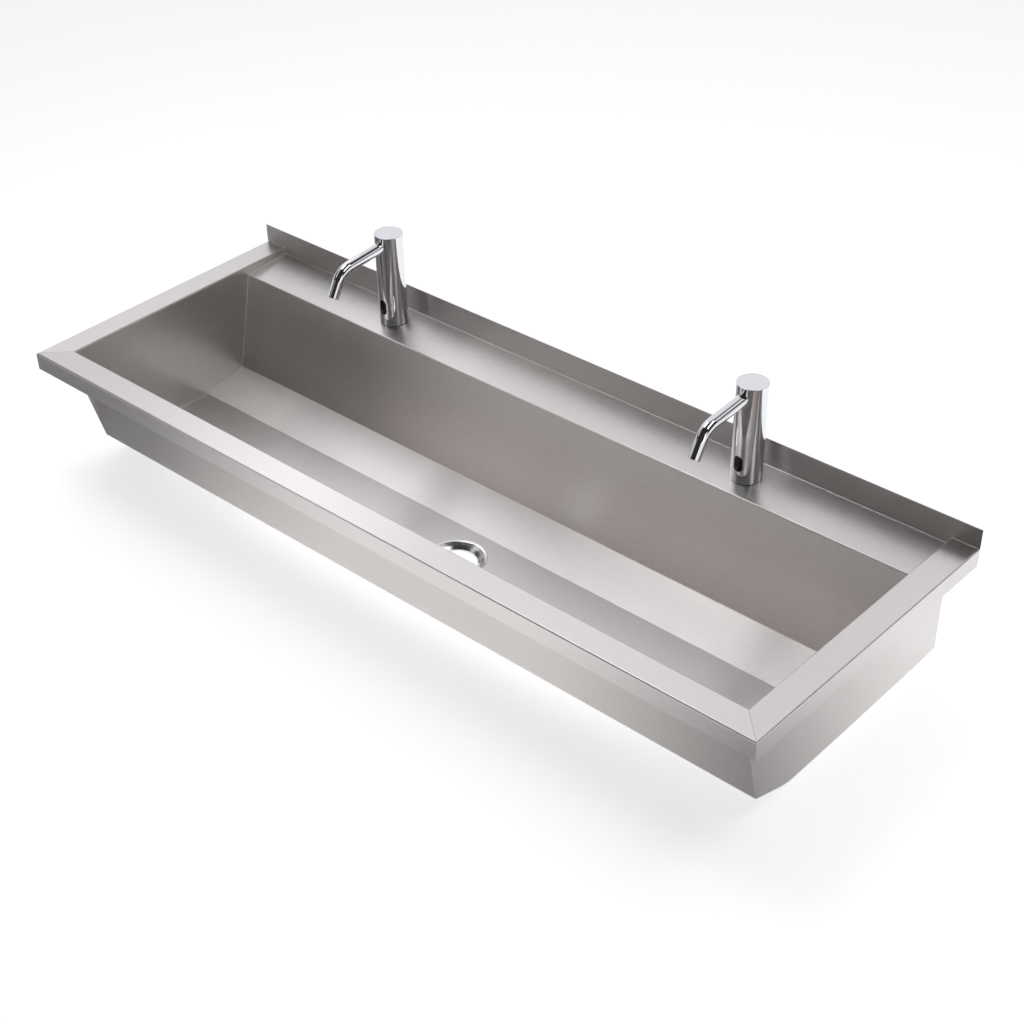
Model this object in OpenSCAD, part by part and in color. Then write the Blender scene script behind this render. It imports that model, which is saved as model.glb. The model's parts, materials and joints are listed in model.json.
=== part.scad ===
// Wall-hung wash trough in folded stainless sheet, with two deck-mounted sensor taps.
// Millimetres. +X runs along the trough, +Y points into the wall and +Z is up.
// The origin lies on the wall plane, at mid length, level with the top of the rim.

/* [Trough] */
// Overall length, from end lip to end lip
trough_length = 1500; // [1350:10:2400]
// Overall depth, from the wall to the front lip
trough_depth = 535; // [515:5:600]
// Thickness of the folded sheet
sheet = 1.5; // [1.2:0.1:2]
// Inside radius of the sharp folds
fold_radius = 1.5; // [1:0.25:2.5]
// Width of the flat rim at the front and at both ends
rim_width = 46.3; // [36:0.5:60]
// Height of the lip turned down round the rim
lip_height = 31; // [20:1:45]
// Height of the upstand above the rim
upstand_height = 33.3; // [20:1:60]
// Width of the return folded in along the rear edge of each end panel
end_return = 18; // [12:1:30]

/* [Tap ledge] */
// Distance from the wall to the ledge's front edge
ledge_run = 94.4; // [88:1:105]
// How far the ledge lies below the rim at the wall
ledge_drop = 12.6; // [8:1:25]
// Fall of the ledge from the wall to its front edge
ledge_fall = 5.2; // [2:0.5:8]

/* [Bowl] */
// Depth from the rim to the level floor strip
bowl_depth = 209.5; // [195:1:240]
// How far the front wall leans in from the rim to its foot
front_lean = 34.7; // [20:1:50]
// Height of the front wall's foot above the floor strip
front_foot_rise = 25; // [15:1:35]
// Run of the sloped bottom from the front wall's foot to the floor strip
front_slope_run = 74; // [60:1:90]
// Inside radius of the bend between that slope and the floor strip
floor_bend_radius = 110; // [60:5:130]
// Run of the level floor strip that holds the outlet
strip_run = 155.5; // [145:1:165]
// Rise of the rear floor from the strip to the back wall
rear_floor_rise = 17.2; // [8:1:30]
// How far the back wall leans back from its foot to the ledge
back_lean = 40.3; // [20:1:55]
// Height of the end panels' rear corner above the bowl's underside
rear_corner_rise = 4.5; // [0:0.5:20]

/* [Waste outlet] */
// Outside diameter of the polished flange
outlet_flange_d = 100; // [96:1:110]
// Thickness of the flange where it lies on the floor
outlet_flange_t = 1; // [0.8:0.1:2]
// Diameter of the hole in the floor sheet
outlet_seat_d = 92; // [88:1:94]
// Clear bore of the outlet
outlet_bore_d = 68; // [50:1:72]
// Depth of the dish below the floor
outlet_dish_depth = 8; // [6:0.5:14]
// Length of the straight bore under the dish
outlet_bore_length = 3; // [2:0.5:20]
// Distance from the floor's front seam to the outlet's axis
outlet_reach = 52.92; // [50:0.01:60]

/* [Wall brackets] */
// Distance from each end of the trough to the middle of its bracket
bracket_inset = 190; // [175:5:250]
// Width of each bracket
bracket_width = 60; // [56:2:80]
// Thickness of the bracket plate
bracket_plate = 3; // [2.5:0.5:4]
// Reach of the bracket out from the wall, under the ledge
bracket_reach = 82; // [76:1:84]
// Height of the bracket's back plate
bracket_height = 160; // [145:5:170]
// Diameter of the wall screw holes
wall_hole_d = 11; // [8:0.5:13]
// Upper wall screw hole, below the rim
wall_hole_top = 60; // [55:1:70]
// Distance between the upper and the lower wall screw holes
wall_hole_drop = 95; // [80:5:100]
// Diameter of the studs welded under the ledge
stud_d = 8; // [6:1:10]
// Length of those studs
stud_length = 16; // [14:1:20]
// Distance between the two studs of a bracket
stud_pitch = 34; // [30:1:38]

/* [Tap body] */
// Distance between the two tap axes
tap_pitch = 754; // [600:1:850]
// Distance from the wall to the tap axes
tap_setback = 44; // [42:1:48]
// Height of the body above the ledge, at its axis
tap_height = 166; // [162:1:190]
// Outside diameter of the body
tap_d = 49.5; // [48:0.5:54]
// Wall of the body
tap_wall = 3; // [2.5:0.25:3.25]
// Thickness of the shoulder inside the foot of the body
foot_shoulder = 5.2; // [4:0.2:7]
// Thickness of the rubber gasket under the body
gasket_t = 0.8; // [0.5:0.1:1.5]
// Thickness of the flush top cap
cap_t = 2.8; // [2:0.2:3.5]
// Height of the spigot under the cap
spigot_height = 2.6; // [2.4:0.1:3]
// Section diameter of the cap's sealing ring
seal_section = 1.5; // [1.2:0.1:1.8]

/* [Spout] */
// Outside diameter of the spout tube
spout_d = 19.5; // [17:0.5:20]
// Wall of the spout tube
spout_wall = 1.5; // [1:0.25:2]
// Depth of the spout's axis below the top of the body
spout_below_top = 17.6; // [17:0.2:30]
// Fall of the arm below level, in degrees
spout_fall = 4.2; // [0:0.2:10]
// Slope of the outlet end below level, in degrees
spout_end_slope = 60; // [45:1:80]
// Bend radius of the tube's axis
spout_bend = 36; // [28:1:50]
// Length of the straight arm, from the body's axis to the bend
spout_arm = 95; // [60:1:130]
// Length of the straight tail after the bend
spout_tail = 27.4; // [20:1:45]
// Length of the aerator set in the spout's end
aerator_length = 10; // [8:0.5:15]

/* [Sensor] */
// Width of the sensor window
window_width = 15.5; // [13:0.5:18]
// Height of the sensor window
window_height = 27.7; // [22:0.5:32]
// Height of the window's centre above the ledge
window_centre = 34; // [32:1:40]
// Depth of the electronics module behind the window
module_depth = 11; // [9:0.5:12]

/* [Valve] */
// Height of the valve block's underside above the ledge
block_base = 62; // [58:1:66]
// Height of the valve block
block_height = 22; // [20:1:24]
// Distance of the valve's axis behind the tap's axis
valve_setback = 7; // [6:0.25:7]
// Diameter of the plunger
plunger_d = 7.8; // [7:0.1:8.2]
// Length of the plunger
plunger_length = 20; // [18:1:22]
// Travel of the plunger
plunger_travel = 2; // [1:0.1:2.5]
// Radial clearance of the plunger in its guide tube
plunger_clearance = 0.08; // [0.05:0.01:0.1]
// Number of turns of the plunger spring
spring_turns = 5; // [4:1:7]
// Diameter of the solenoid coil
coil_d = 22; // [18:0.5:24]
// Height of the solenoid coil
coil_height = 22; // [21:1:26]

/* [Shank and inlet] */
// Thread diameter of the fixing shank
shank_d = 32; // [30:0.5:33]
// Bore of the shank
shank_bore_d = 22; // [20:0.5:24]
// Length of the shank below the ledge
shank_drop = 50; // [45:1:70]
// Width across the flats of the fixing nut
nut_flats = 46; // [42:1:48]
// Height of the fixing nut
nut_height = 9; // [6:0.5:12]
// Outside diameter of the inlet tube
inlet_tube_d = 12; // [10:0.5:12.5]
// Bore of the inlet tube
inlet_bore_d = 8; // [6:0.5:8.5]
// Thread diameter of the inlet nipple
nipple_d = 16.6; // [15:0.2:18]
// Length of the inlet nipple's thread
nipple_length = 12; // [8:0.5:16]

/* [Hidden] */
$fn = 64;
far = 400;          // longer than any cut needs
skim = 0.05;        // radial gap of parts that are pressed, screwed or soldered together
ease = 0.3;         // gap of parts that only have to stay clear of each other
past = 1;           // how far a cut runs past the face that it opens

// Plan of the trough
half_length = trough_length / 2;
half_bowl = half_length - rim_width;
front_y = -trough_depth;
rim_in_y = front_y + rim_width;

// Fold lines of the cross-section in (y, z), along its visible side, from the front lip to
// the upstand. The sheet lies on the right-hand side of this line.
front_foot_y = rim_in_y + front_lean;
strip_front_y = front_foot_y + front_slope_run;
seam_flat = 12;      // level run between the floor's bend and its front seam
seam_run = floor_bend_radius * tan(atan(front_foot_rise / front_slope_run) / 2) + seam_flat;
outlet_y = strip_front_y + seam_run + outlet_reach;
SECTION = [
    [front_y, -lip_height],
    [front_y, 0],
    [rim_in_y, 0],
    [front_foot_y, front_foot_rise - bowl_depth],
    [strip_front_y, -bowl_depth],
    [strip_front_y + seam_run, -bowl_depth],
    [strip_front_y + strip_run, -bowl_depth],
    [-ledge_run - back_lean, rear_floor_rise - bowl_depth],
    [-ledge_run, -ledge_drop - ledge_fall],
    [-sheet, -ledge_drop],
    [-sheet, upstand_height]
];
RIM_EDGE = 2;        // places in SECTION where a panel begins or ends
FLOOR_BEND = 4;
FLOOR_SEAM = 5;
CREASE = 6;
BACK_SEAM = 7;
UPSTAND_TOP = 10;
bend_steps = 5;

// Ledge plane under the taps and brackets
ledge_slope = atan(ledge_fall / (ledge_run - sheet));
tap_foot_z = -ledge_drop - ledge_fall * (tap_setback - sheet) / (ledge_run - sheet);

// Wall brackets
bracket_x = half_length - bracket_inset;
bracket_gap = 0.1;   // under the ledge, taken up by the nuts
stud_mid_y = -(bracket_reach + bracket_plate) / 2;
stud_nut_flats = stud_d * 1.6;
stud_nut_height = stud_d * 0.8;
cheek_nose = 16;     // height of a cheek at its front
cheek_foot = 15;     // depth of a cheek at its foot

// Tap body, measured from the ledge at the tap's axis
tap_r = tap_d / 2;
tap_bore_r = tap_r - tap_wall;
body_base = gasket_t;
shoulder_top = body_base + foot_shoulder;
cap_wall = 1.2;
cap_r = tap_r - cap_wall;
spigot_r = tap_bore_r - skim;
seal_r = tap_bore_r - seal_section / 2 - 0.02;

// Spout, measured along its axis from the body's axis
spout_z = tap_height - spout_below_top;
spout_r = spout_d / 2;
spout_bore_r = spout_r - spout_wall;
spout_start = 17;
spout_turn = spout_end_slope - spout_fall;
tail_step = 0.05;
tail_lap = 0.5;      // how far the tail's turning and boring run into the bend
tail_bore_r = spout_bore_r + tail_step;
elbow_wall = 1.4;
elbow_r = spout_r + skim + elbow_wall;
elbow_start = 4;
elbow_passage_r = spout_r - 2.8;
elbow_passage_start = elbow_start + 2.5;
aerator_recess = 0.8;

// Valve stack, measured from the ledge at the tap's axis
block_r = tap_bore_r - ease;
block_top = block_base + block_height;
socket_depth = 7;
seat_top = block_top - 4;
chamber_floor = seat_top - 2;
chamber_r = 11.3;
seat_r = 5;
seat_bore_r = 2.5;
gallery_r = 2;
gallery_z = chamber_floor - 5;
feed_r = 1.5;
feed_x = 4.2;
riser_r = 4;
riser_bore_r = 2.8;
riser_setback = -12;
riser_socket = 8;
rim_clamp_t = 1.2;
rim_clamp_w = 1.6;
membrane_drop = 2.6;
core_r = 7.1;
core_t = 3;
pilot_r = 0.6;
core_top = seat_top + core_t;
bonnet_r = 13.9;
bonnet_top = block_top + 6;
bonnet_chamber = 3.5;
plunger_r = plunger_d / 2;
guide_bore_r = plunger_r + plunger_clearance;
guide_wall = 0.9;
plunger_top = core_top + plunger_length;
guide_ceiling = plunger_top + plunger_travel + 1;
spring_pocket = 9;
spring_wire = 0.6;
spring_r = plunger_r - 1.9;
coil_r = coil_d / 2;
coil_flange_t = 2;
coil_bore_r = guide_bore_r + guide_wall + skim;

// Sensor
window_inner_r = tap_bore_r - 0.9;
window_sink = 0.2;   // how far the window lies below the body's surface
module_height = window_height + 4;

// Shank and inlet
shank_r = shank_d / 2;
shank_flange_t = 6;
shank_play = 1.5;    // radial gap of the shank in the ledge's hole
ledge_hole_r = shank_r + shank_play;
washer_r = tap_r + 0.5;
rubber_t = 4;
washer_t = 2.5;
rubber_base = -sheet - rubber_t;
washer_base = rubber_base - washer_t;
nut_base = washer_base - nut_height;
inlet_tube_r = inlet_tube_d / 2;
nipple_r = nipple_d / 2;
nipple_top = -shank_drop - 6;
collar_t = 3;
grommet_t = 6;
grommet_rim = 2;     // width and thickness of the grommet's rim

// ---- helpers ----

function unit(v) = v / norm(v);
function left_of(v) = [-v.y, v.x];
function spun(v, angle) = [v.x * cos(angle) - v.y * sin(angle), v.x * sin(angle) + v.y * cos(angle)];
function heading(i) = unit(SECTION[i + 1] - SECTION[i]);
function in_heading(i) = i > 0 ? heading(i - 1) : heading(0);
function out_heading(i) = i < len(SECTION) - 1 ? heading(i) : heading(i - 1);
function bend_side(i) = sign(cross(in_heading(i), out_heading(i)));
function bend_angle(i) = acos(in_heading(i) * out_heading(i));
function inside_radius(i) = i == FLOOR_BEND ? floor_bend_radius : fold_radius;

// The hidden side of the sheet at fold line i: the visible point moved along the mitre.
function hidden_point(i) =
    let (a = -left_of(in_heading(i)), b = -left_of(out_heading(i)))
    SECTION[i] + (a + b) * sheet / (1 + a * b);

// Arc of a given radius that rounds the corner at point p of fold line i.
function corner_arc(i, p, radius) =
    let (
        a = in_heading(i),
        side = bend_side(i),
        turn = bend_angle(i),
        centre = p - a * radius * tan(turn / 2) + side * left_of(a) * radius
    )
    [for (k = [0:bend_steps]) centre + spun(-side * left_of(a) * radius, side * turn * k / bend_steps)];

// Points of one side of the sheet round fold line i. A seam or a straight joint isn't rounded.
function visible_corner(i, sharp) = sharp || bend_angle(i) < 0.01 ? [SECTION[i]]
    : corner_arc(i, SECTION[i], inside_radius(i) + (bend_side(i) < 0 ? sheet : 0));
function hidden_corner(i, sharp) = sharp || bend_angle(i) < 0.01 ? [hidden_point(i)]
    : corner_arc(i, hidden_point(i), inside_radius(i) + (bend_side(i) < 0 ? 0 : sheet));

function visible_side(first, last) =
    [for (i = [first:last]) each visible_corner(i, i == first || i == last)];
function hidden_side(first, last) =
    [for (i = [first:last]) each hidden_corner(i, i == first || i == last)];
function reversed(list) = [for (i = [len(list) - 1:-1:0]) list[i]];
function panel_outline(first, last) = concat(visible_side(first, last), reversed(hidden_side(first, last)));

// Carries an outline drawn in (y, z) along X, from x0 to x1.
module along_x(x0, x1) {
    translate([x0, 0, 0]) rotate([90, 0, 90]) linear_extrude(x1 - x0) children();
}

module tube(outer_r, inner_r, z0, z1) {
    difference() {
        translate([0, 0, z0]) cylinder(r = outer_r, h = z1 - z0);
        translate([0, 0, z0 - 1]) cylinder(r = inner_r, h = z1 - z0 + 2);
    }
}

module rod(r, z0, z1) {
    translate([0, 0, z0]) cylinder(r = r, h = z1 - z0);
}

// Puts a tap's parts at the left (side = -1) or the right (side = 1) tap hole.
module at_tap(side) {
    translate([side * tap_pitch / 2, -tap_setback, tap_foot_z]) children();
}

// Everything under a plane parallel to the ledge, lift above it, in the tap's frame.
module below_ledge_plane(lift) {
    rotate([ledge_slope, 0, 0]) translate([-far / 2, -far / 2, lift / cos(ledge_slope) - far]) cube([far, far, far]);
}

// Turns the tap's frame so that +Z runs out along the spout's arm.
module along_spout() {
    translate([0, 0, spout_z]) rotate([90 + spout_fall, 0, 0]) children();
}

module stadium(width, height) {
    square([width, height - width], center = true);
    for (s = [-1, 1]) translate([0, s * (height - width) / 2]) circle(d = width);
}

// The window's outline carried through the front of the body, grown by gap.
module window_prism(gap) {
    translate([0, 0, window_centre]) rotate([90, 0, 0])
        linear_extrude(tap_r + 5) stadium(window_width + 2 * gap, window_height + 2 * gap);
}

// ---- trough ----

// One mitred corner of the front rim and lip, beyond the end panel.
module front_corner(side) {
    intersection() {
        along_x(-half_length, half_length) polygon(panel_outline(0, RIM_EDGE));
        translate([0, 0, -lip_height - 1]) linear_extrude(lip_height + 2)
            polygon([
                [side * half_bowl, rim_in_y],
                [side * half_length, front_y],
                [side * half_bowl, front_y]
            ]);
    }
}

module front_panel() {
    color([0.72, 0.71, 0.69]) {
        along_x(-half_bowl, half_bowl) polygon(panel_outline(0, FLOOR_SEAM));
        front_corner(-1);
        front_corner(1);
    }
}

module floor_panel() {
    color([0.70, 0.69, 0.67]) difference() {
        along_x(-half_bowl, half_bowl) polygon(panel_outline(FLOOR_SEAM, BACK_SEAM));
        translate([0, outlet_y, -bowl_depth - sheet - past])
            cylinder(d = outlet_seat_d, h = sheet + 2 * past);
    }
}

module back_panel() {
    color([0.70, 0.69, 0.67]) {
        difference() {
            along_x(-half_bowl, half_bowl) polygon(panel_outline(BACK_SEAM, UPSTAND_TOP));
            for (side = [-1, 1]) at_tap(side) rod(ledge_hole_r, -far, far);
        }
        for (side = [-1, 1])
            translate([side > 0 ? half_bowl : -half_length, -sheet, 0])
                cube([rim_width, sheet, upstand_height]);
    }
}

// The end panel's outline follows the underside of the bowl and runs back to the wall.
module end_panel(side) {
    rear_z = rear_corner_rise - bowl_depth - sheet;
    outline = concat(
        [for (i = [RIM_EDGE:CREASE]) each hidden_corner(i, false)],
        [[0, rear_z], [0, -sheet]]
    );
    color([0.71, 0.70, 0.68]) {
        along_x(side > 0 ? half_bowl : -half_bowl - sheet, side > 0 ? half_bowl + sheet : -half_bowl)
            polygon(outline);
        translate([side > 0 ? half_bowl - end_return : -half_bowl, -sheet, rear_z + sheet])
            cube([end_return, sheet, -ledge_drop - sheet - 2 * ease - rear_z - sheet]);
    }
}

module side_rim(side) {
    color([0.74, 0.73, 0.71]) intersection() {
        mirror([side > 0 ? 0 : 1, 0, 0]) translate([0, front_y, 0]) rotate([90, 0, 0]) mirror([0, 0, 1])
            linear_extrude(trough_depth) polygon([for (p = panel_outline(0, RIM_EDGE))
                [half_length - (p.x - front_y), p.y]]);
        translate([0, 0, -lip_height - 1]) linear_extrude(lip_height + 2)
            polygon([
                [side * half_bowl, rim_in_y],
                [side * half_length, front_y],
                [side * half_length, 0],
                [side * half_bowl, 0]
            ]);
    }
}

// Flange on the floor, a dish that falls from its edge to the bore, and the short straight bore.
module waste_ring() {
    seat_r = outlet_seat_d / 2 - ease;
    bore_r = outlet_bore_d / 2;
    edge_r = outlet_flange_d / 2;
    wall = 1.2;
    color([0.86, 0.86, 0.86]) translate([0, outlet_y, -bowl_depth]) rotate_extrude()
        polygon([
            [edge_r - 0.8, outlet_flange_t],
            [edge_r, outlet_flange_t / 2],
            [edge_r, 0],
            [seat_r, 0],
            [seat_r, -wall],
            [bore_r + wall, -outlet_dish_depth - wall],
            [bore_r + wall, -outlet_dish_depth - outlet_bore_length],
            [bore_r, -outlet_dish_depth - outlet_bore_length],
            [bore_r, -outlet_dish_depth],
            [(seat_r + bore_r) / 2, -outlet_dish_depth * 0.4],
            [seat_r, outlet_flange_t - wall / 2]
        ]);
}

// ---- wall brackets ----

// Height of a bracket's top face at depth y: parallel to the ledge, a small gap below it.
function bracket_top(y) =
    -ledge_drop + (y + sheet) * tan(ledge_slope) - (sheet + bracket_gap) / cos(ledge_slope);

// Frame on that face at the wall, +Z square to it.
module under_ledge(side) {
    translate([side * bracket_x, 0, bracket_top(0)]) rotate([ledge_slope, 0, 0]) children();
}

// A folded channel: back plate, top flange and two cheeks that narrow towards the foot.
module wall_bracket(side) {
    foot_z = bracket_top(0) - bracket_height;
    flange_z = bracket_plate / cos(ledge_slope);
    reach_y = -bracket_reach;
    color([0.62, 0.62, 0.62]) difference() {
        translate([side * bracket_x, 0, 0]) along_x(-bracket_width / 2, bracket_width / 2) polygon([
            [0, bracket_top(0)],
            [reach_y, bracket_top(reach_y)],
            [reach_y, bracket_top(reach_y) - cheek_nose],
            [-cheek_foot, foot_z],
            [0, foot_z]
        ]);
        translate([side * bracket_x, 0, 0])
            along_x(bracket_plate - bracket_width / 2, bracket_width / 2 - bracket_plate) polygon([
                [-bracket_plate, bracket_top(-bracket_plate) - flange_z],
                [reach_y - 1, bracket_top(reach_y - 1) - flange_z],
                [reach_y - 1, foot_z - 1],
                [-bracket_plate, foot_z - 1]
            ]);
        for (z = [wall_hole_top, wall_hole_top + wall_hole_drop])
            translate([side * bracket_x, 1, -z]) rotate([90, 0, 0]) cylinder(d = wall_hole_d, h = bracket_plate + 2);
        for (s = [-1, 1])
            under_ledge(side) translate([0, stud_mid_y + s * stud_pitch / 2, -bracket_plate - 1])
                cylinder(d = stud_d + 1, h = bracket_plate + 2);
    }
}

module bracket_studs() {
    color([0.75, 0.75, 0.74]) for (side = [-1, 1], s = [-1, 1])
        under_ledge(side) translate([0, stud_mid_y + s * stud_pitch / 2, bracket_gap - stud_length])
            cylinder(d = stud_d, h = stud_length);
}

module bracket_nuts() {
    color([0.66, 0.66, 0.65]) for (side = [-1, 1], s = [-1, 1])
        under_ledge(side) translate([0, stud_mid_y + s * stud_pitch / 2, -bracket_plate - stud_nut_height])
            difference() {
                cylinder(d = stud_nut_flats / cos(30), h = stud_nut_height, $fn = 6);
                translate([0, 0, -1]) cylinder(r = stud_d / 2 + skim, h = stud_nut_height + 2);
            }
}

// ---- tap: outside ----

module tap_body() {
    color([0.82, 0.82, 0.84]) difference() {
        rod(tap_r, -5, tap_height);
        below_ledge_plane(body_base);
        rod(shank_r + 0.6, -10, far);
        rod(tap_bore_r, shoulder_top, tap_height + 1);
        rod(cap_r + skim, tap_height - cap_t, tap_height + 1);
        window_prism(0.1);
        along_spout() rod(spout_r + skim, spout_start - 3, tap_r + 5);
    }
}

module tap_cap() {
    groove_z = tap_height - cap_t - spigot_height / 2;
    color([0.84, 0.83, 0.88]) difference() {
        union() {
            rod(cap_r, tap_height - cap_t, tap_height);
            rod(spigot_r, tap_height - cap_t - spigot_height, tap_height - cap_t + 0.5);
        }
        tube(tap_bore_r + 1, seal_r - seal_section / 2 - 0.02,
             groove_z - seal_section / 2 - 0.05, groove_z + seal_section / 2 + 0.05);
        rod(spigot_r - 6, tap_height - cap_t - spigot_height - 1, tap_height - cap_t);
    }
}

module cap_seal() {
    color([0.12, 0.12, 0.12]) translate([0, 0, tap_height - cap_t - spigot_height / 2])
        rotate_extrude() translate([seal_r, 0]) circle(d = seal_section, $fn = 24);
}

// A round section of radius r carried along the arm and the bend, and of radius tail_r along the tail.
module spout_path(r, arm_start, tail_r, tail_length) {
    along_spout() {
        rod(r, arm_start, spout_arm);
        translate([0, -spout_bend, spout_arm]) {
            rotate([90, 0, 90]) rotate_extrude(angle = spout_turn) translate([spout_bend, 0]) circle(r = r);
            rotate([spout_turn, 0, 0]) translate([0, spout_bend, 0]) rod(tail_r, -tail_lap, tail_length);
        }
    }
}

// The tail is turned down and bored out a little where the aerator is fitted.
module spout() {
    color([0.82, 0.82, 0.84]) difference() {
        spout_path(spout_r, spout_start, spout_r - tail_step, spout_tail);
        spout_path(spout_bore_r, spout_start - 1, tail_bore_r, spout_tail + 1);
    }
}

// Frame of the spout's mouth: +Z runs out of it.
module at_mouth() {
    along_spout() translate([0, -spout_bend, spout_arm]) rotate([spout_turn, 0, 0])
        translate([0, spout_bend, spout_tail]) children();
}

// Aerator cartridge: a cup whose floor is a pattern of round jets.
module aerator() {
    cup_r = tail_bore_r - skim;
    jet_r = cup_r / 11;
    color([0.6, 0.6, 0.62]) at_mouth() difference() {
        rod(cup_r, -aerator_recess - aerator_length, -aerator_recess);
        rod(cup_r - 1, -aerator_recess - aerator_length - 1, -aerator_recess - 3);
        rod(cup_r - 1, -aerator_recess - 0.6, 1);
        for (ring = [0:2], k = [0:max(1, 6 * ring) - 1])
            rotate([0, 0, 360 * k / max(1, 6 * ring)]) translate([ring * cup_r * 0.28, 0, 0])
                rod(jet_r, -aerator_recess - 4, 1, $fn = 16);
    }
}

module sensor_window() {
    color([0.05, 0.05, 0.06]) intersection() {
        window_prism(0);
        tube(tap_r - window_sink, window_inner_r, 0, tap_height);
    }
}

module base_gasket() {
    color([0.15, 0.15, 0.15]) difference() {
        intersection() {
            rod(tap_r - 0.4, -far / 2, far / 2);
            below_ledge_plane(gasket_t);
        }
        below_ledge_plane(0);
        rod(ledge_hole_r, -far, far);
    }
}

// ---- tap: inside ----

module sensor_module() {
    color([0.2, 0.22, 0.25]) intersection() {
        translate([-window_width / 2 - 1, -tap_bore_r, window_centre - module_height / 2])
            cube([window_width + 2, module_depth + tap_bore_r - window_inner_r, module_height]);
        rod(window_inner_r - ease, 0, tap_height);
    }
}

module outlet_elbow() {
    color([0.8, 0.65, 0.3]) difference() {
        intersection() {
            along_spout() rod(elbow_r, elbow_start, tap_bore_r + 2);
            rod(tap_bore_r - 0.15, 0, tap_height);
        }
        along_spout() rod(elbow_passage_r, elbow_passage_start, far);
        along_spout() rod(spout_r + skim, spout_start, far);
        translate([0, riser_setback, 0]) rod(riser_r + skim, 0, spout_z);
    }
}

module riser_tube() {
    riser_top = spout_z - elbow_passage_r - riser_setback * tan(-spout_fall) - 0.8;
    color([0.8, 0.5, 0.3]) translate([0, riser_setback, 0])
        tube(riser_r, riser_bore_r, block_top - riser_socket, riser_top);
}

module valve_block() {
    color([0.8, 0.65, 0.3]) difference() {
        rod(block_r, block_base, block_top);
        // socket and feed of the inlet
        rod(inlet_tube_r + skim, block_base - 1, block_base + socket_depth);
        translate([feed_x, 0, 0]) rod(feed_r, block_base + socket_depth - 1, chamber_floor + 1);
        // chamber round the seat
        translate([0, valve_setback, 0]) {
            tube(chamber_r, seat_r, chamber_floor, block_top + 1);
            rod(seat_r + 0.01, seat_top, block_top + 1);
            rod(seat_bore_r, gallery_z, seat_top + 1);
        }
        // gallery from the seat to the riser
        translate([0, valve_setback, gallery_z]) rotate([90, 0, 0])
            cylinder(r = gallery_r, h = valve_setback - riser_setback);
        translate([0, riser_setback, 0]) {
            rod(riser_bore_r, gallery_z, block_top);
            rod(riser_r + skim, block_top - riser_socket, block_top + 1);
        }
    }
}

module valve_bonnet() {
    color([0.75, 0.75, 0.74]) translate([0, valve_setback, 0]) difference() {
        union() {
            rod(bonnet_r, block_top, bonnet_top);
            rod(guide_bore_r + guide_wall, bonnet_top - 1, guide_ceiling + 1.5);
        }
        rod(chamber_r, block_top - 1, block_top + bonnet_chamber);
        rod(chamber_r + rim_clamp_w + skim, block_top - 1, block_top + rim_clamp_t);
        rod(guide_bore_r, block_top, guide_ceiling);
    }
}

// Rubber ring clamped by its rim, whose cone reaches down to the core.
module diaphragm() {
    core_gap_r = core_r + 0.2;
    color([0.15, 0.15, 0.15]) translate([0, valve_setback, 0]) rotate_extrude()
        polygon([
            [chamber_r + rim_clamp_w, block_top],
            [chamber_r + rim_clamp_w, block_top + rim_clamp_t],
            [chamber_r, block_top + rim_clamp_t],
            [core_gap_r, block_top + rim_clamp_t - membrane_drop],
            [core_gap_r, block_top - membrane_drop],
            [chamber_r, block_top]
        ]);
}

module diaphragm_core() {
    color([0.85, 0.85, 0.8]) translate([0, valve_setback, 0]) tube(core_r, pilot_r, seat_top, core_top);
}

module plunger() {
    tip = 2;
    color([0.7, 0.7, 0.72]) translate([0, valve_setback, core_top]) difference() {
        union() {
            cylinder(r1 = 1.4, r2 = plunger_r - 0.6, h = tip);
            rod(plunger_r, tip, plunger_length);
        }
        rod(spring_r + spring_wire / 2 + 0.3, plunger_length - spring_pocket, plunger_length + 1);
    }
}

// Compression spring: a round wire swept along a helix, from the pocket to the guide's ceiling.
module plunger_spring() {
    sides = 6;
    steps = 10 * spring_turns;
    z0 = plunger_top - spring_pocket + spring_wire / 2 + 0.05;
    z1 = guide_ceiling - spring_wire / 2 - 0.05;
    points = [for (k = [0:steps], j = [0:sides - 1])
        let (a = 360 * spring_turns * k / steps, b = 360 * j / sides, r = spring_r + spring_wire / 2 * cos(b))
        [r * cos(a), r * sin(a), z0 + (z1 - z0) * k / steps + spring_wire / 2 * sin(b)]];
    faces = concat(
        [for (k = [0:steps - 1], j = [0:sides - 1]) each let (n = (j + 1) % sides) [
            [k * sides + j, (k + 1) * sides + j, (k + 1) * sides + n],
            [k * sides + j, (k + 1) * sides + n, k * sides + n]
        ]],
        [for (j = [1:sides - 2]) [0, j, j + 1]],
        [for (j = [1:sides - 2]) [steps * sides, steps * sides + j + 1, steps * sides + j]]
    );
    color([0.8, 0.8, 0.8]) translate([0, valve_setback, 0]) polyhedron(points, faces);
}

// Winding between the two flanges of its bobbin.
module solenoid_coil() {
    color([0.25, 0.2, 0.15]) translate([0, valve_setback, bonnet_top]) rotate_extrude() polygon([
        [coil_bore_r, 0], [coil_r, 0], [coil_r, coil_flange_t], [coil_r - 1.5, coil_flange_t],
        [coil_r - 1.5, coil_height - coil_flange_t], [coil_r, coil_height - coil_flange_t],
        [coil_r, coil_height], [coil_bore_r, coil_height]
    ]);
}

// ---- tap: fixing and inlet ----

module shank() {
    color([0.8, 0.65, 0.3]) difference() {
        union() {
            rod(tap_bore_r - ease, shoulder_top, shoulder_top + shank_flange_t);
            rod(shank_r, -shank_drop, shoulder_top + 1);
        }
        rod(shank_bore_d / 2, -far, far);
    }
}

module rubber_washer() {
    color([0.15, 0.15, 0.15]) intersection() {
        tube(washer_r, shank_r + 0.6, rubber_base, 10);
        below_ledge_plane(-sheet / cos(ledge_slope));
    }
}

module clamp_washer() {
    color([0.7, 0.7, 0.7]) tube(washer_r, shank_r + 0.6, washer_base, rubber_base);
}

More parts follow.
